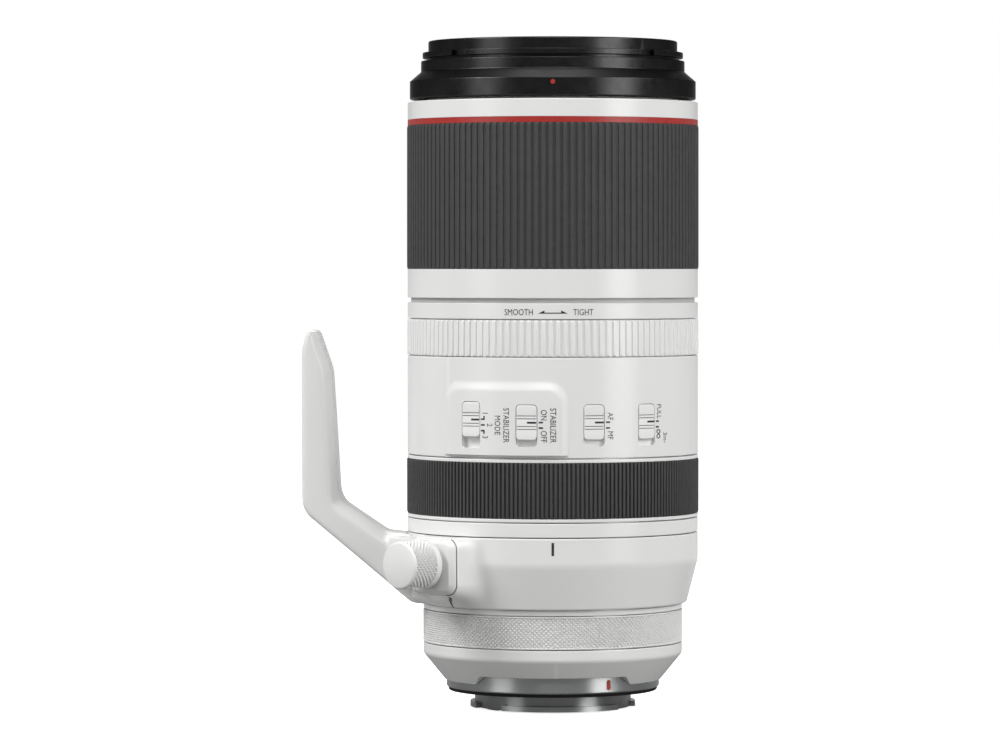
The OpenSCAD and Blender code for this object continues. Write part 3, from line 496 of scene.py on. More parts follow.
def machined(name, color, rough, dark):
    """Turned metal: tool marks round the axis, darker patches of wear, edges rubbed brighter."""
    paint = Paint(name, color, rough, 1.0)
    marks = paint.noise(1, 2, 0.5, paint.around(1.2, 2600, 2600))
    patches = paint.noise(7, 4)
    tone = paint.mix(paint.ramp(patches, [(0.35, 0.0), (0.8, 0.6)]), color, dark)
    paint.color(paint.mix(paint.edges(0.51, 0.58), tone, tuple(min(1, c * 1.25) for c in color)))
    paint.rough(patches, rough - 0.06, rough + 0.1)
    paint.bump(marks, 0.1, 0.01)
    brushed = paint.tree.nodes.new("ShaderNodeTangent")
    brushed.direction_type = "RADIAL"
    brushed.axis = "Z"
    paint.link(brushed.outputs[0], paint.shader.inputs["Tangent"])
    paint.shader.inputs["Anisotropic"].default_value = 0.75
    paint.shader.inputs["Anisotropic Rotation"].default_value = 0.25
    return paint.mat


def gloss_paint(name, color, rough):
    """Paint of marks, coloured rings, and the painted shade in seams and grooves: even, with a fine grain.
    """
    paint = Paint(name, color, rough)
    paint.color(paint.ramp(paint.noise(4, 3), [(0.3, tuple(c * 0.86 for c in color)), (0.7, color)]))
    paint.rough(paint.noise(2), rough - 0.05, rough + 0.08)
    paint.bump(paint.noise(0.3, 2), 0.1, 0.02)
    return paint.mat


def coated_glass(name, tint, film):
    """Lens glass with a thin coating that tints its reflections, and a few specks of dust."""
    paint = Paint(name, tint, 0.0)
    paint.shader.inputs["Transmission Weight"].default_value = 1.0
    paint.shader.inputs["IOR"].default_value = 1.52
    paint.shader.inputs["Thin Film Thickness"].default_value = film
    paint.shader.inputs["Thin Film IOR"].default_value = 1.38
    paint.rough(paint.noise(1.2, 6, 0.7), 0.0, 0.03)
    return paint.mat


def circuit(name):
    """Green board with copper tracks and solder points."""
    paint = Paint(name, (0.02, 0.12, 0.05), 0.4)
    tracks = paint.tree.nodes.new("ShaderNodeTexBrick")
    tracks.inputs["Scale"].default_value = 400
    tracks.inputs["Color1"].default_value = (0.018, 0.11, 0.045, 1)
    tracks.inputs["Color2"].default_value = (0.03, 0.15, 0.06, 1)
    tracks.inputs["Mortar"].default_value = (0.35, 0.22, 0.08, 1)
    paint.link(paint.place, tracks.inputs["Vector"])
    paint.color(tracks.outputs["Color"])
    paint.rough(paint.noise(2), 0.3, 0.5)
    return paint.mat


WHITE = (0.8, 0.8, 0.79)
materials = {
    "white_enamel": enamel("white_enamel", WHITE, 0.5, 0.25),
    "white_plastic": enamel("white_plastic", (0.81, 0.81, 0.8), 0.35, 0.32),
    "ext_paint": enamel("ext_paint", (0.74, 0.74, 0.725), 0.4, 0.4),
    "rubber_grip": rubber("rubber_grip", (0.05, 0.05, 0.05)),
    "seal_rubber": rubber("seal_rubber", (0.01, 0.01, 0.01), 0.15),
    "black_ring": black_finish("black_ring", (0.045, 0.045, 0.046), 0.3, 0.3),
    "black_cell": black_finish("black_cell", (0.014, 0.014, 0.015), 0.5, 0.25),
    "bare_metal": machined("bare_metal", (0.6, 0.6, 0.58), 0.38, (0.4, 0.4, 0.39)),
    "mount_steel": machined("mount_steel", (0.34, 0.35, 0.345), 0.3, (0.27, 0.28, 0.275)),
    "screw_steel": machined("screw_steel", (0.42, 0.42, 0.41), 0.36, (0.25, 0.25, 0.25)),
    "motor_metal": machined("motor_metal", (0.45, 0.45, 0.46), 0.4, (0.3, 0.3, 0.3)),
    "brass": machined("brass", (0.72, 0.5, 0.2), 0.3, (0.5, 0.32, 0.12)),
    "red_paint": gloss_paint("red_paint", (0.4, 0.024, 0.018), 0.38),
    "lens_glass": coated_glass("lens_glass", (0.97, 1.0, 0.985), 420),
    "circuit_board": circuit("circuit_board"),
}
ink = gloss_paint("ink", (0.025, 0.025, 0.026), 0.55)
pale_ink = gloss_paint("pale_ink", (0.035, 0.035, 0.035), 0.55)
# grey for the floors of the switches' grip lines: painted shade
painted_groove_shade = gloss_paint("painted_groove_shade", (0.2, 0.2, 0.2), 0.6)
# dark grey for the seam round the lock pad: its shadow, painted
painted_seam_shadow = gloss_paint("painted_seam_shadow", (0.07, 0.07, 0.07), 0.6)
neck_grey = enamel("neck_grey", (0.45, 0.45, 0.44), 0.4, 0.4)


def dress(name, bevel):
    """Rounds a CAD node's edges and gives it the material of its record slot."""
    obj = nodes[name]
    slot = slots[name]
    if not obj.material_slots:
        obj.data.materials.append(materials[slot])
    for s in obj.material_slots:
        s.material = materials[slot]
    if bevel:
        obj.modifiers.new("weld", "WELD").merge_threshold = CAD_WELD
        softened(obj, bevel)


slots = {s["node"]: s["material_slot"] for s in frame["record"]["subparts"]}
bevels = {"stop_ring": 0.15, "rear_baffle": 0.15, "contact_block": 0.12,
          "mount_screws": 0.06, "mount_gasket": 0.1}
for node in nodes:
    dress(node, bevels.get(node, 0))


# Turned shells

def shell(node, wall, body, edge=0.25):
    """White ring over a plain turned node, with round edges."""
    r, z0, z1 = span(node)
    inner_r = BARREL_R - wall
    ring = turned(node + "_turned", [(inner_r, z0, 0), (r, z0, edge), (r, z1, edge), (inner_r, z1, 0)])
    return finish_piece(ring, materials[slots[node]], body, [node])


shell("body_ring", 2.0, "body")
shell("scale_band", 1.4, "body")


def build_neck(inner_r=44.9, outer_r=45.6):
    """Grey band that shows in the gap under the zoom ring."""
    z0, z1 = span("scale_band")[2] + SEAT, span("zoom_shell")[1] - SEAT
    return turned("neck_band", [(inner_r, z0, 0), (outer_r, z0, 0), (outer_r, z1, 0), (inner_r, z1, 0)])


finish_piece(build_neck(), neck_grey, "body")


def grip_bed(node, grip_node, seat_top, body, wall=2.4, bed=1.25, edge=0.3, lip=0.15):
    """White ring with a sunk bed for its rubber grip, round at its outer edges."""
    r, z0, z1 = span(node)
    low, bed_r, inner_r = span(grip_node)[1], r - bed, BARREL_R - wall
    ring = turned(node + "_turned", [
        (inner_r, z0, 0), (r, z0, edge), (r, low, lip), (bed_r, low, 0),
        (bed_r, seat_top, 0), (r, seat_top, lip), (r, z1, edge), (inner_r, z1, 0)])
    return finish_piece(ring, materials[slots[node]], body, [node])


grip_bed("zoom_shell", "zoom_grip", span("red_ring")[2], "zoom_ring")
grip_bed("focus_shell", "focus_grip", span("focus_grip")[2], "focus_ring")


def build_rear_cover():
    """Rear cover with its cone, and a relief with curved ends that lets the flange show."""
    r, z0, z1 = span("rear_cover")
    low_r, bore_r, inner_r, shelf = 34.7, 34.3, 36.6, 7.6
    cone_top = z1 - 3.5
    slope = (r - low_r) / (cone_top - z0)
    relief_from, relief_to, relief_z = 46.0, 37.5, 5.75
    edge, bend, lip = 0.2, 2.2, 0.3
    points, columns = [], 2 * SEGMENTS
    for c in range(columns):
        angle = 360 * c / columns
        off = abs((angle + 180) % 360 - 180)
        low = z0 + (relief_z - z0) * smooth(clamped((relief_from - off) / (relief_from - relief_to)))
        outline = fillet([
            (bore_r, low, 0), (low_r + slope * (low - z0), low, edge), (r, cone_top, bend), (r, z1, lip),
            (inner_r, z1, 0), (inner_r, shelf, 0), (bore_r, shelf, 0)])
        points += [polar(p.x, angle, p.y) for p in outline]
    return weighted(mesh_object("rear_cover_turned", points, loop_faces(columns, len(outline))))


finish_piece(build_rear_cover(), materials["white_enamel"], "body", ["rear_cover"])


def build_thread(name, r, pitch, z0, z1, place=polar, depth=0.4, root=0.15):
    """Ridges of an inner thread, as a ring of V grooves against the bore."""
    turns = int((z1 - z0) / pitch)
    corners = [(r + root, z0, 0)]
    for k in range(turns):
        corners += [(r, z0 + k * pitch, 0), (r - depth, z0 + (k + 0.5) * pitch, 0)]
    corners += [(r, z0 + turns * pitch, 0), (r + root, z0 + turns * pitch, 0)]
    return turned(name, corners, place)


FILTER_R, FILTER_PITCH = 38.5, 0.75
FILTER_FROM, FILTER_TO = 6.2, 0.6  # ends of the filter thread, below the rim


def build_front_ring():
    """Black front ring: skirt, cone, and the hood's bayonet ring with its four notches."""
    r, z0, z1 = span("front_ring")
    tube_r = span("extension_tube")[0] + SEAT
    neck_r, rim_r, groove_r, lug_r, notch_r, bezel_r = 42.4, 40.05, 39.7, 41.9, 40.45, 37.2
    skirt_top, neck_low, neck_top = z1 - 13, z1 - 9.9, z1 - 6.4
    lug_low, lug_top, ledge, seat = z1 - 5.5, z1 - 3.7, z1 - 6.5, z1 - 9.35
    rim_edge, cone_edge, neck_edge, lug_edge = 0.5, 0.4, 0.3, 0.2
    notches, half, wall = (46, 134, 226, 314), 4.0, 0.02
    angles = [360 * c / SEGMENTS for c in range(SEGMENTS)]
    angles += [n + side * half + step for n in notches for side in (-1, 1) for step in (-wall, wall)]
    points = []
    for angle in sorted(angles):
        out = notch_r if any(abs(angle - n) < half for n in notches) else lug_r
        outline = fillet([
            (tube_r, z0, 0), (r, z0, rim_edge), (r, skirt_top, cone_edge), (neck_r, neck_low, cone_edge),
            (neck_r, neck_top, neck_edge), (groove_r, neck_top, 0), (groove_r, lug_low, 0),
            (out, lug_low, lug_edge), (out, lug_top, lug_edge), (rim_r, lug_top, 0), (rim_r, z1, rim_edge),
            (FILTER_R, z1, lug_edge), (FILTER_R, ledge, 0), (bezel_r, ledge, 0), (bezel_r, seat, 0),
            (tube_r, seat, 0)])
        points += [polar(p.x, angle, p.y) for p in outline]
    return weighted(mesh_object("front_ring_turned", points, loop_faces(len(angles), len(outline))))


finish_piece(build_front_ring(), materials["black_ring"], "front_barrel", ["front_ring"])
rim_z = span("front_ring")[2]
filter_ends = rim_z - FILTER_FROM, rim_z - FILTER_TO
filter_thread = build_thread("filter_thread", FILTER_R, FILTER_PITCH, *filter_ends)
finish_piece(filter_thread, materials["black_ring"], "front_barrel")


# Grips and knurls

def grip(node, body, wall, **ribs):
    """Ribbed ring in place of a plain one."""
    r, z0, z1 = span(node)
    piece = ribbed(node + "_ribs", r, BARREL_R - wall, z0, z1, **ribs)
    return finish_piece(piece, materials[slots[node]], body, [node])


grip("zoom_grip", "zoom_ring", 1.2, count=130, depth=0.36, groove=0.42, flank=0.07, end=0.9)
grip("focus_grip", "focus_ring", 1.2, count=210, depth=0.6, groove=0.3, flank=0.12, end=0.6)
grip("tension_ring", "tension", 1.4, count=128, depth=0.34, groove=0.44, flank=0.08, end=0.7)


def build_control_ring(bore_r=39.6, edge=0.2, rim=0.35, depth=0.6, count=180):
    """Control ring: a knurled band between two plain rims."""
    r, z0, z1 = span("control_ring")
    head = [(bore_r, z0), (r - edge, z0), (r, z0 + edge), (r, z0 + rim)]
    tail = [(r, z1 - rim), (r, z1 - edge), (r - edge, z1), (bore_r, z1)]
    return knurled("control_ring_knurl", polar, head, tail, r - depth, r, count)


finish_piece(build_control_ring(), materials["white_enamel"], "control", ["control_ring"])


# Tripod collar, foot and lock

COLLAR_Z0, COLLAR_Z1 = span("collar_ring")[1:]
COLLAR_CONE = COLLAR_Z0 + 13.9
COLLAR_LOW_R = BARREL_R - 3.6
LOCK_ANGLE, LOCK_Z = -44.0, 42.1
PAD_MIDDLE_Z, PAD_HALF_W, PAD_HALF_H = 41.2, 9.8, 8.7
PAD_CORNER_R, PAD_FACE = 3.4, 55.6
SEAM_H = 53.5


def collar_r(z, soft=0.09):
    """Radius of the turned collar at a height, its cone running softly into the barrel."""
    share = (z - COLLAR_Z0) / (COLLAR_CONE - COLLAR_Z0)
    if share > 1 + soft:
        return BARREL_R
    drop = (1 - share) if share < 1 - soft else (1 + soft - share) ** 2 / (4 * soft)
    return BARREL_R - (BARREL_R - COLLAR_LOW_R) * drop


def on_pad(x, y, h):
    """Place over the lock pad: x along, y up from its middle, height from the lens axis."""
    return facing(LOCK_ANGLE, PAD_MIDDLE_Z)(x, y, h)


def pad_distance(angle, z):
    """Distance from the lock pad's outline, measured along the barrel, and the place along it."""
    along = SEAM_H * math.tan(math.radians(angle - LOCK_ANGLE))
    x, y = abs(along) - PAD_HALF_W + PAD_CORNER_R, abs(z - PAD_MIDDLE_Z) - PAD_HALF_H + PAD_CORNER_R
    return math.hypot(max(x, 0), max(y, 0)) + min(max(x, y), 0) - PAD_CORNER_R, along


ARM_CORNER_ANGLE, ARM_CORNER_R = -74.0, 46.9
WEB_TOP, WEB_FADE, WEB_ROUND, WEB_BEND = 36.0, 2.0, 30.4, 0.4
SWEEP_REACH = 40.0  # degrees from the lock pad's middle


def web_r(angle, z, behind=10.0):
    """Radius of the collar with the flat web under the foot, from the arm's corner to the turned face."""
    base = collar_r(z)
    shown = clamped((WEB_TOP - z) / WEB_FADE)
    corner_r = max(base, ARM_CORNER_R - WEB_BEND * max(0.0, WEB_ROUND - z) ** 2)
    touch = ARM_CORNER_ANGLE + math.degrees(math.acos(min(1.0, base / corner_r)))
    if not ARM_CORNER_ANGLE - behind < angle < touch:
        return base
    if angle < ARM_CORNER_ANGLE:
        web = base + (corner_r - base) * (1 - (ARM_CORNER_ANGLE - angle) / behind)
    else:
        web = base / math.cos(math.radians(angle - touch))
    return base + (web - base) * shown


def flare_r(angle, z, sweep=9.5, lip=0.6, hollow=3.6, level=12.0, left=-18.0, fade=5.0):
    """Radius of the collar with its hollow sweep up to the lock pad, which fades out towards the foot."""
    base = web_r(angle, z)
    turn = abs(angle - LOCK_ANGLE)
    if turn > SWEEP_REACH:
        return base
    gap, along = pad_distance(angle, z)
    if gap > sweep:
        return base
    rise = SEAM_H / math.cos(math.radians(min(turn, level))) - base
    shown = clamped((along - left) / fade)
    return base + rise * (1 - max(gap - lip, 0) / (sweep - lip)) ** hollow * shown


def build_collar(bore_r=41.2, edge=0.3, rows=76, reach=44, fine=0.3):
    """Collar ring: turned, with the sweep that carries the lock pad."""
    angles = column_angles(LOCK_ANGLE, reach, fine)
    levels = [COLLAR_Z0 + edge + (COLLAR_Z1 - COLLAR_Z0 - 2 * edge) * k / rows for k in range(rows + 1)]
    points = []
    for a in angles:
        points += [polar(bore_r, a, COLLAR_Z0), polar(flare_r(a, COLLAR_Z0) - edge, a, COLLAR_Z0)]
        points += [polar(flare_r(a, z), a, z) for z in levels]
        points += [polar(flare_r(a, COLLAR_Z1) - edge, a, COLLAR_Z1), polar(bore_r, a, COLLAR_Z1)]
    return mesh_object("collar_ring_flared", points, loop_faces(len(angles), len(levels) + 4))


finish_piece(build_collar(), materials["white_enamel"], "collar", ["collar_ring"])


def strip(name, path, place, half, low, high):
    """Solid band of the given half width along a flat path; place turns (x, y, height) into a point."""
    points = []
    for h in (high, low):
        for side in (-half, half):
            for i, (x, y) in enumerate(path):
                before, after = path[max(i - 1, 0)], path[min(i + 1, len(path) - 1)]
                along = Vector((after[0] - before[0], after[1] - before[1])).normalized()
                points.append(place(x - side * along.y, y + side * along.x, h))
    n = len(path)
    faces = []
    for i in range(n - 1):
        for a, b in ((0, 1), (1, 3), (3, 2), (2, 0)):
            faces.append((a * n + i, a * n + i + 1, b * n + i + 1, b * n + i))
    faces += [(0, n, 3 * n, 2 * n), (n - 1, 2 * n - 1, 4 * n - 1, 3 * n - 1)]
    return mesh_object(name, points, faces)


def build_pad_seam(half=0.13, low=3.0, high=0.03, end=5.2):
    """Painted shadow of the seam: a dark strip round the lock pad's right side, on the flat lip of the
    collar's sweep.
    """
    x, y, r = PAD_HALF_W + half, PAD_HALF_H + half, PAD_CORNER_R + half
    corner = [(r * math.cos(math.radians(a)), r * math.sin(math.radians(a))) for a in range(0, 91, 9)]
    upper = [(x - r + c, y - r + k) for c, k in reversed(corner[:-2])]
    lower = [(x - r + c, r - y - k) for c, k in corner]
    return strip("pad_seam", upper + lower + [(end, -y)], on_pad, half, SEAM_H - low, SEAM_H + high)


def build_split(half=0.24, low=0.5, high=0.06, steps=4):
    """Dark split line of the clamp, from the lock pad's lower edge to the collar's lower edge."""
    path = [(-37.5, 31.75), (-38.2, 31.4), (-40.3, 30.7), (-42.3, 30.0), (-44.3, 28.9), (-45.3, 27.8)]
    fine = []
    for (a0, z0), (a1, z1) in zip(path, path[1:]):
        fine += [(a0 + (a1 - a0) * k / steps, z0 + (z1 - z0) * k / steps) for k in range(steps)]
    flat = [(math.radians(a) * BARREL_R, z) for a, z in fine + path[-1:]]

    def on_collar(x, z, lift):
        """Place over the collar: x along the barrel, height over the collar's face."""
        angle = math.degrees(x / BARREL_R)
        return polar(flare_r(angle, z) + lift, angle, z)

    return strip("collar_split", flat, on_collar, half, -low, high)


# the seam round the lock pad is a painted shadow on a dark strip
finish_piece(build_pad_seam(), painted_seam_shadow, "collar")
finish_piece(build_split(), ink, "collar")


FOOT_ARM_X = -52.0  # the foot's arm and plate lie left of this


def build_foot(voxel=0.36, rounds=20, arm_rounds=60, chamfer=1.4):
    """Foot casting: the CAD solid with its corners melted soft and a chamfer round the lock pad."""
    foot = bpy.data.objects.new("tripod_foot_cast", nodes["tripod_foot"].data.copy())
    bpy.context.collection.objects.link(foot)
    foot.data.materials.clear()
    foot.modifiers.new("weld", "WELD").merge_threshold = CAD_WELD
    grid = foot.modifiers.new("grid", "REMESH")
    grid.mode = "VOXEL"
    grid.voxel_size = voxel * MM
    baked(foot)
    free = foot.vertex_groups.new(name="arm")
    free.add([v.index for v in foot.data.vertices if v.co.x < FOOT_ARM_X * MM], 1.0, "REPLACE")
    for name, count, group in (("melt", rounds, ""), ("arm_melt", arm_rounds, "arm")):
        melt = foot.modifiers.new(name, "SMOOTH")
        melt.factor = 0.5
        melt.iterations = count
        melt.vertex_group = group
    baked(foot)
    reach, over, out, below = 8.0, 0.4, 2.0, 1.0
    low, high, inner = SEAM_H - below, PAD_FACE + out, -chamfer - over
    section = [(inner, PAD_FACE + over), (0, PAD_FACE - chamfer), (0, low), (out, low), (out, high),
               (inner, high)]
    size = (PAD_HALF_W + reach, PAD_HALF_H)
    tool = swept("pad_edge", size, PAD_CORNER_R, section, lambda x, y, h: on_pad(x - reach, y, h))
    return cut(foot, [tool])


finish_piece(build_foot(), materials["white_enamel"], "collar", ["tripod_foot"])


FOOT_FACE, THREAD_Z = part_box("tripod_foot")[0][0] / MM, 84.0
TRIPOD_R, TRIPOD_PITCH = 3.175, 1.27
TRIPOD_ENDS = 0.8, 7.6  # depths below the foot's face


def foot_thread_place(r, angle, z):
    """Place about the tripod thread's axis, height measured in from the foot's flat face."""
    a = math.radians(angle)
    return Vector((FOOT_FACE + z, r * math.cos(a), THREAD_Z + r * math.sin(a)))


tripod_thread = build_thread("tripod_thread", TRIPOD_R, TRIPOD_PITCH, *TRIPOD_ENDS, foot_thread_place)
finish_piece(tripod_thread, materials["bare_metal"], "collar")


def build_lock_knob():
    """Knob with a chamfered flat face, a knurled middle and a plain band at its back."""
    place = facing(LOCK_ANGLE, LOCK_Z)
    back, face, r = 57.2, 69.2, 7.55
    screw_r, screw_end, stud_r, stud_end = 2.5, 46.0, 4.5, 55.9
    depth, count, rim_r, band_top = 0.85, 28, r - 0.1, back + 2.4

    def at(radius, angle, h):
        """Place about the knob's axis, height from the lens axis."""
        a = math.radians(angle)
        return place(radius * math.cos(a), radius * math.sin(a), h)

    head = [(0, screw_end), (screw_r, screw_end), (screw_r, stud_end), (stud_r, stud_end), (stud_r, back),
            (r - 0.6, back), (r - 0.15, back + 0.2), (r, back + 0.6), (r, band_top)]
    tail = [(rim_r, face - 0.8), (rim_r, face - 0.7), (r - 0.35, face - 0.25), (r - 0.8, face), (0, face)]
    return knurled("lock_knob_knurl", at, head, tail, r - depth, r, count)


finish_piece(build_lock_knob(), materials["white_enamel"], "knob", ["lock_knob"])


# Switch panel

TENSION_ROOM = 12.0  # height of the tension ring with its gaps
PANEL_R, PANEL_Z0, PANEL_Z1 = BARREL_R, span("panel_shell")[1], span("scale_band")[1] - TENSION_ROOM
RAISED_H = 0.8
RAISED_FROM, RAISED_TO = -47.0, 6.0
RAISED_LOW, RAISED_TOP = 0.95, 24.0
RAISED_CORNER = 6.5
RAISED_SLOPE, SLOPE_BEND = 2.8, 0.35
UNDERCUT, UNDERCUT_RUN = 0.9, 1.5


def raised_height(angle, z):
    """Height of the raised pad over the barrel: flat, sloped at its sides and top, undercut below."""
    half = math.radians(RAISED_TO - RAISED_FROM) / 2 * PANEL_R
    x = math.radians(angle - (RAISED_FROM + RAISED_TO) / 2) * PANEL_R
    up = z - PANEL_Z0
    across, above = half - abs(x), RAISED_TOP - up
    if up < RAISED_LOW:
        return -UNDERCUT * clamped(across / UNDERCUT_RUN)
    if across < RAISED_CORNER and above < RAISED_CORNER:
        inside = RAISED_CORNER - math.hypot(RAISED_CORNER - across, RAISED_CORNER - above)
    else:
        inside = min(across, above)
    t = clamped(inside / RAISED_SLOPE)
    return RAISED_H * (smooth(t) * SLOPE_BEND + t * (1 - SLOPE_BEND))


def build_panel():
    """Barrel section with its raised pad, and the neck that the tension ring turns on."""
    bore_r, floor_z, edge = 42.3, PANEL_Z0 + 1.7, 0.2
    neck_r, inner_r, neck_top = 45.05, 44.25, span("panel_shell")[2]
    reach, fine, step, hair = 64, 0.4, 0.45, 0.01
    angles = column_angles(0, reach, fine)
    first, last = PANEL_Z0 + RAISED_LOW + hair, PANEL_Z1 - edge
    count = round((last - first) / step)
    levels = [PANEL_Z0 + h for h in (edge, 0.25, 0.65, RAISED_LOW - hair)]
    levels += [first + (last - first) * k / count for k in range(count + 1)]
    outer_r = PANEL_R - edge
    foot = [(bore_r, PANEL_Z0), (outer_r, PANEL_Z0)]
    neck = [(outer_r, PANEL_Z1), (neck_r, PANEL_Z1), (neck_r, neck_top), (inner_r, neck_top),
            (inner_r, floor_z), (bore_r, floor_z)]
    points = []
    for a in angles:
        outline = foot + [(PANEL_R + raised_height(a, z), z) for z in levels] + neck
        points += [polar(r, a, z) for r, z in outline]
    return mesh_object("switch_panel", points, loop_faces(len(angles), len(outline)))


SWITCHES = {  # angle, travel, rise of the barrel under it, body
    "mode_switch": (-32.8, 3.3, RAISED_H, "switch_mode"),
    "stabilizer_switch": (-10.0, 1.9, RAISED_H, "switch_stabilizer"),
    "focus_mode_switch": (16.1, 1.9, 0.0, "switch_focus"),
    "range_switch": (39.2, 1.9, 0.0, "switch_range"),
}
SWITCH_HALF_W, SWITCH_CORNER = 3.25, 1.15
SWITCH_ROOM = 0.2
SLOT_DEPTH, SLOT_OPEN, SLOT_EDGE, SLOT_EDGE_ANGLE = 1.35, 3.0, 0.12, 50
KNOB_DEPTH, KNOB_RISE, KNOB_EDGE = 1.28, 0.1, 0.3
LINE_PLACES, LINE_HALF, LINE_DEPTH = (-2.1, -1.2, 1.2, 2.1), 0.14, 0.2


def switch_slots():
    """Solids that cut the slots in which the switches slide."""
    half, corner = SWITCH_HALF_W + SWITCH_ROOM, SWITCH_CORNER + SWITCH_ROOM
    tools = []
    for node, (angle, travel, _, _) in SWITCHES.items():
        z0, z1 = span(node)[1:]
        outline = round_rect(-half, half, z0 - travel - SWITCH_ROOM, z1 + SWITCH_ROOM, corner)
        low, high = PANEL_R - SLOT_DEPTH, PANEL_R + SLOT_OPEN
        tools.append(prism(node + "_slot", outline, facing(angle, 0), low, high))
    return tools


panel = softened(cut(build_panel(), switch_slots()), SLOT_EDGE, SLOT_EDGE_ANGLE)
finish_piece(panel, materials["white_enamel"], "body", ["panel_shell"])


def build_switch(node, angle, rise):
    """Slide knob with two pairs of fine grip lines, its index mark, and grey strips of painted shade in the
    lines.
    """
    half, (z0, z1) = SWITCH_HALF_W, span(node)[1:]
    top, middle = PANEL_R + rise + KNOB_RISE, (z0 + z1) / 2
    place = facing(angle, 0)
    outline = round_rect(-half, half, z0, z1, SWITCH_CORNER)
    knob = prism(node + "_knob", outline, place, PANEL_R - KNOB_DEPTH, top)
    softened(knob, KNOB_EDGE)
    baked(knob)
    over, shade_end, shade_half, shade_low, shade_top = 1.0, half - 0.25, 0.13, top - 0.3, top - 0.12
    lines, shades = [], []
    for offset in LINE_PLACES:
        y = middle + offset
        line = bar(-half - over, half + over, y - LINE_HALF, y + LINE_HALF)
        lines.append(prism("line", line, place, top - LINE_DEPTH, top + over))
        # grey strip at the floor of each grip line: painted shade
        shade = bar(-shade_end, shade_end, y - shade_half, y + shade_half)
        shades.append(prism_parts(shade, place, shade_low, shade_top))
    weighted(cut(knob, lines))
    mark_from, mark_to, mark_half, mark_corner, mark_sink = 0.2, half - 0.12, 0.3, 0.05, 0.1
    mark = round_rect(mark_from, mark_to, middle - mark_half, middle + mark_half, mark_corner, steps=1)
    index = prism(node + "_index", mark, place, top - mark_sink, top + MARK_LIFT)
    return knob, index, joined(node + "_line_shade", shades)


for node, (angle, _, rise, body) in SWITCHES.items():
    knob, mark, shades = build_switch(node, angle, rise)
    finish_piece(knob, materials["white_plastic"], body, [node])
    finish_piece(mark, ink, body)
    # the grey strips in the grip lines are painted shade
    finish_piece(shades, painted_groove_shade, body)


# Marks

def marks(name, outlines, r, angle, body="body"):
    """Filled marks on a barrel; heights in the outlines are over the flange."""
    return finish_piece(plate(name, outlines, r, angle, 0), ink, body)


INDEX_HALF, INDEX_Z0, INDEX_Z1 = 0.4, 44.9, 49.0
marks("collar_index", [bar(-INDEX_HALF, INDEX_HALF, INDEX_Z0, INDEX_Z1)], BARREL_R, 0, body="collar")

raised_r = PANEL_R + RAISED_H
TICK, TICK_W = 0.52, 1.35
HOOK, HOOK_W = 1.0, 0.5
MODE_HIGH, MODE_MIDDLE, MODE_LOW = 87.5, 85.7, 83.9


def tick(z):
    """Outline of a tick beside a switch."""
    return bar(0, TICK_W, z - TICK / 2, z + TICK / 2)


hook_x = TICK_W - HOOK_W
hooks = [bar(hook_x, TICK_W, MODE_HIGH, MODE_HIGH + HOOK), bar(hook_x, TICK_W, MODE_LOW - HOOK, MODE_LOW)]
marks("mode_ticks", [tick(z) for z in (MODE_HIGH, MODE_MIDDLE, MODE_LOW)] + hooks, raised_r, -28.3)
marks("stabilizer_ticks", [tick(86.6), tick(84.9)], raised_r, -5.3)
marks("focus_mode_ticks", [tick(86.6), tick(84.8)], PANEL_R, 20.9)
marks("range_ticks", [tick(86.6), tick(84.8)], PANEL_R, 44.0)

SIDEWAYS = -90
SMALL_CAP, CAP, WIDE_CAP, SCALE_CAP = 1.9, 1.95, 3.2, 2.0
WORDS = [  # text, height of capitals, radius, angle, height of its middle
    ("1", SMALL_CAP, raised_r, -26.6, 89.4),
    ("2", SMALL_CAP, raised_r, -24.7, 85.7),
    ("3", SMALL_CAP, raised_r, -26.6, 81.9),
    ("MODE", CAP, raised_r, -21.5, 85.7),
    ("STABILIZER", CAP, raised_r, -18.0, 85.7),
    ("ON", CAP, raised_r, -3.5, 88.9),
    ("OFF", CAP, raised_r, -3.5, 82.2),
    ("STABILIZER", CAP, raised_r, 0.0, 85.7),
    ("AF", CAP, PANEL_R, 22.6, 88.4),
    ("MF", CAP, PANEL_R, 22.6, 82.5),
    ("FULL", CAP, PANEL_R, 45.7, 89.7),
    ("\u221e", WIDE_CAP, PANEL_R, 45.4, 82.6),
    ("3m-", SMALL_CAP, PANEL_R, 49.2, 81.4),
]
letters = [lettering(text, cap, r, angle, z, SIDEWAYS) for text, cap, r, angle, z in WORDS]
SCALE_R, SCALE_Z = span("scale_band")[0], 120.95
for text, angle in (("SMOOTH", -13.2), ("TIGHT", 11.8)):
    letters.append(lettering(text, SCALE_CAP, SCALE_R, angle, SCALE_Z, 0))
finish_piece(joined("switch_letters", letters), pale_ink, "body")


def build_arrow(reach=4.7, barb=2.1, barb_h=1.0, shaft_h=0.34, inset=1.0, steps=12, drop=0.35):
    """Arrow with two heads between the tension ring's two words."""
    start, step, back = inset - reach, 2 * (reach - inset) / steps, reach - barb
    shaft = [bar(start + step * k, start + step * (k + 1), 0, shaft_h) for k in range(steps)]
    barbs = [[(side * reach, 0), (side * back, 0), (side * back, barb_h)] for side in (-1, 1)]
    return plate("tension_arrow", shaft + barbs, SCALE_R, 0, SCALE_Z - drop)


finish_piece(build_arrow(), ink, "body")


# Stage

FLOOR_Z = cad_box[0][2]
MIDDLE = Vector((0, 0, 0.1))
LAMPS = [  # name, azimuth, elevation, distance, width and height, power
    ("key", -70, 42, 1.9, (0.7, 0.7), 23.0),
    ("left_strip", -56, 10, 1.2, (0.5, 0.8), 2.5),
    ("front", 2, 36, 1.6, (0.9, 0.7), 5.6),
    ("right", 68, 32, 1.6, (0.6, 0.7), 7.2),
    ("strip", 54, 10, 1.2, (0.5, 0.8), 5.5),
    ("back", 180, 42, 1.6, (0.9, 0.9), 9.0),
    ("top", 0, 88, 1.5, (0.8, 0.8), 3.6),
]


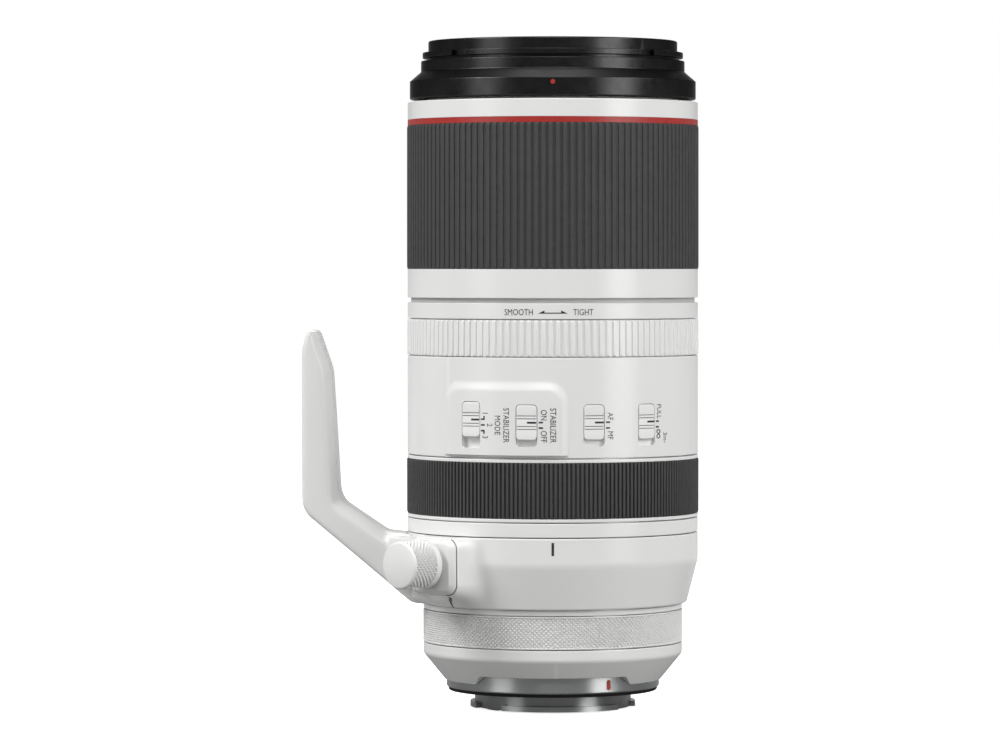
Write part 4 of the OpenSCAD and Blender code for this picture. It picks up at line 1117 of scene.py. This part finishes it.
def studio_level(tree, coords, axis, reach, dark, pale):
    """Brightness of the studio for reflections, rising from dark to pale along an axis."""
    level = tree.nodes.new("ShaderNodeMapRange")
    level.interpolation_type = "SMOOTHSTEP"
    level.inputs["From Min"].default_value, level.inputs["From Max"].default_value = reach
    level.inputs["To Min"].default_value = dark
    level.inputs["To Max"].default_value = pale
    split = tree.nodes.new("ShaderNodeSeparateXYZ")
    place = tree.nodes.new("ShaderNodeTexCoord")
    tree.links.new(place.outputs[coords], split.inputs[0])
    tree.links.new(split.outputs[axis], level.inputs["Value"])
    return level.outputs[0]


def build_floor(size=40.0, pale=0.8, bounce=0.2, glow=0.82):
    """Pale floor that glows white to the camera, keeps a soft shadow and throws little light back."""
    mesh = bpy.data.meshes.new("floor")
    corners = [(-size, -size), (size, -size), (size, size), (-size, size)]
    mesh.from_pydata([(x, y, FLOOR_Z) for x, y in corners], [], [(0, 1, 2, 3)])
    floor = bpy.data.objects.new("floor", mesh)
    bpy.context.collection.objects.link(floor)
    mat = bpy.data.materials.new("floor")
    mat.use_nodes = True
    tree = mat.node_tree
    shader = tree.nodes["Principled BSDF"]
    shader.inputs["Roughness"].default_value = 0.9
    shader.inputs["Specular IOR Level"].default_value = 0.0
    shader.inputs["Emission Color"].default_value = (1, 1, 1, 1)
    path = tree.nodes.new("ShaderNodeLightPath")
    backdrop = studio_level(tree, "Object", "Y", reach=(0.05, 0.4), dark=0.1, pale=0.6)
    mirrored = combine(tree, "MULTIPLY", path.outputs["Is Glossy Ray"], backdrop)
    camera = path.outputs["Is Camera Ray"]
    tone = combine(tree, "ADD", combine(tree, "MULTIPLY", camera, pale - bounce), bounce)
    tree.links.new(tone, shader.inputs["Base Color"])
    seen = combine(tree, "MAXIMUM", combine(tree, "MULTIPLY", camera, glow), mirrored)
    tree.links.new(seen, shader.inputs["Emission Strength"])
    mesh.materials.append(mat)


def build_world(ambient=0.24):
    """White to the camera and through glass, graded in reflections, and a low even light for the rest."""
    world = bpy.data.worlds.new("studio")
    bpy.context.scene.world = world
    world.use_nodes = True
    tree = world.node_tree
    background = tree.nodes["Background"]
    background.inputs["Color"].default_value = (1, 1, 1, 1)
    path = tree.nodes.new("ShaderNodeLightPath")
    backdrop = studio_level(tree, "Generated", "Y", reach=(0.93, 0.99), dark=0.16, pale=0.6)
    ceiling = studio_level(tree, "Generated", "Z", reach=(0.75, 0.95), dark=0.0, pale=0.8)
    glossy = path.outputs["Is Glossy Ray"]
    mirrored = combine(tree, "MULTIPLY", glossy, combine(tree, "MAXIMUM", backdrop, ceiling))
    seen = combine(tree, "MAXIMUM", path.outputs["Is Camera Ray"], path.outputs["Is Transmission Ray"])
    seen = combine(tree, "MAXIMUM", seen, mirrored)
    soft = combine(tree, "MULTIPLY", combine(tree, "SUBTRACT", 1.0, glossy), ambient)
    tree.links.new(combine(tree, "MAXIMUM", seen, soft), background.inputs["Strength"])


def area_light(name, azimuth, elevation, distance, size, power):
    """Lamp aimed at the object's middle; azimuth 0 is the camera's side, positive to the right."""
    data = bpy.data.lights.new(name, "AREA")
    data.shape = "RECTANGLE"
    data.size, data.size_y = size
    data.energy = power
    a, e = math.radians(azimuth), math.radians(elevation)
    away = Vector((math.cos(e) * math.sin(a), -math.cos(e) * math.cos(a), math.sin(e)))
    lamp = bpy.data.objects.new(name, data)
    lamp.location = MIDDLE + distance * away
    lamp.rotation_euler = (-away).to_track_quat("-Z", "Y").to_euler()
    bpy.context.collection.objects.link(lamp)


def build_camera():
    """Camera fitted to the photo: its distance, focal length and shift."""
    data = bpy.data.cameras.new("camera")
    data.sensor_width = 36
    data.lens = 175.6
    data.shift_x, data.shift_y = -0.0528, -0.118
    data.clip_start, data.clip_end = 0.05, 200
    camera = bpy.data.objects.new("camera", data)
    camera.location = (0, -1.570, 0.1383)
    camera.rotation_euler = (math.radians(90), 0, 0)
    bpy.context.collection.objects.link(camera)
    bpy.context.scene.camera = camera


build_floor()
build_world()
for lamp in LAMPS:
    area_light(*lamp)
build_camera()

bpy.context.scene.view_settings.view_transform = "Standard"
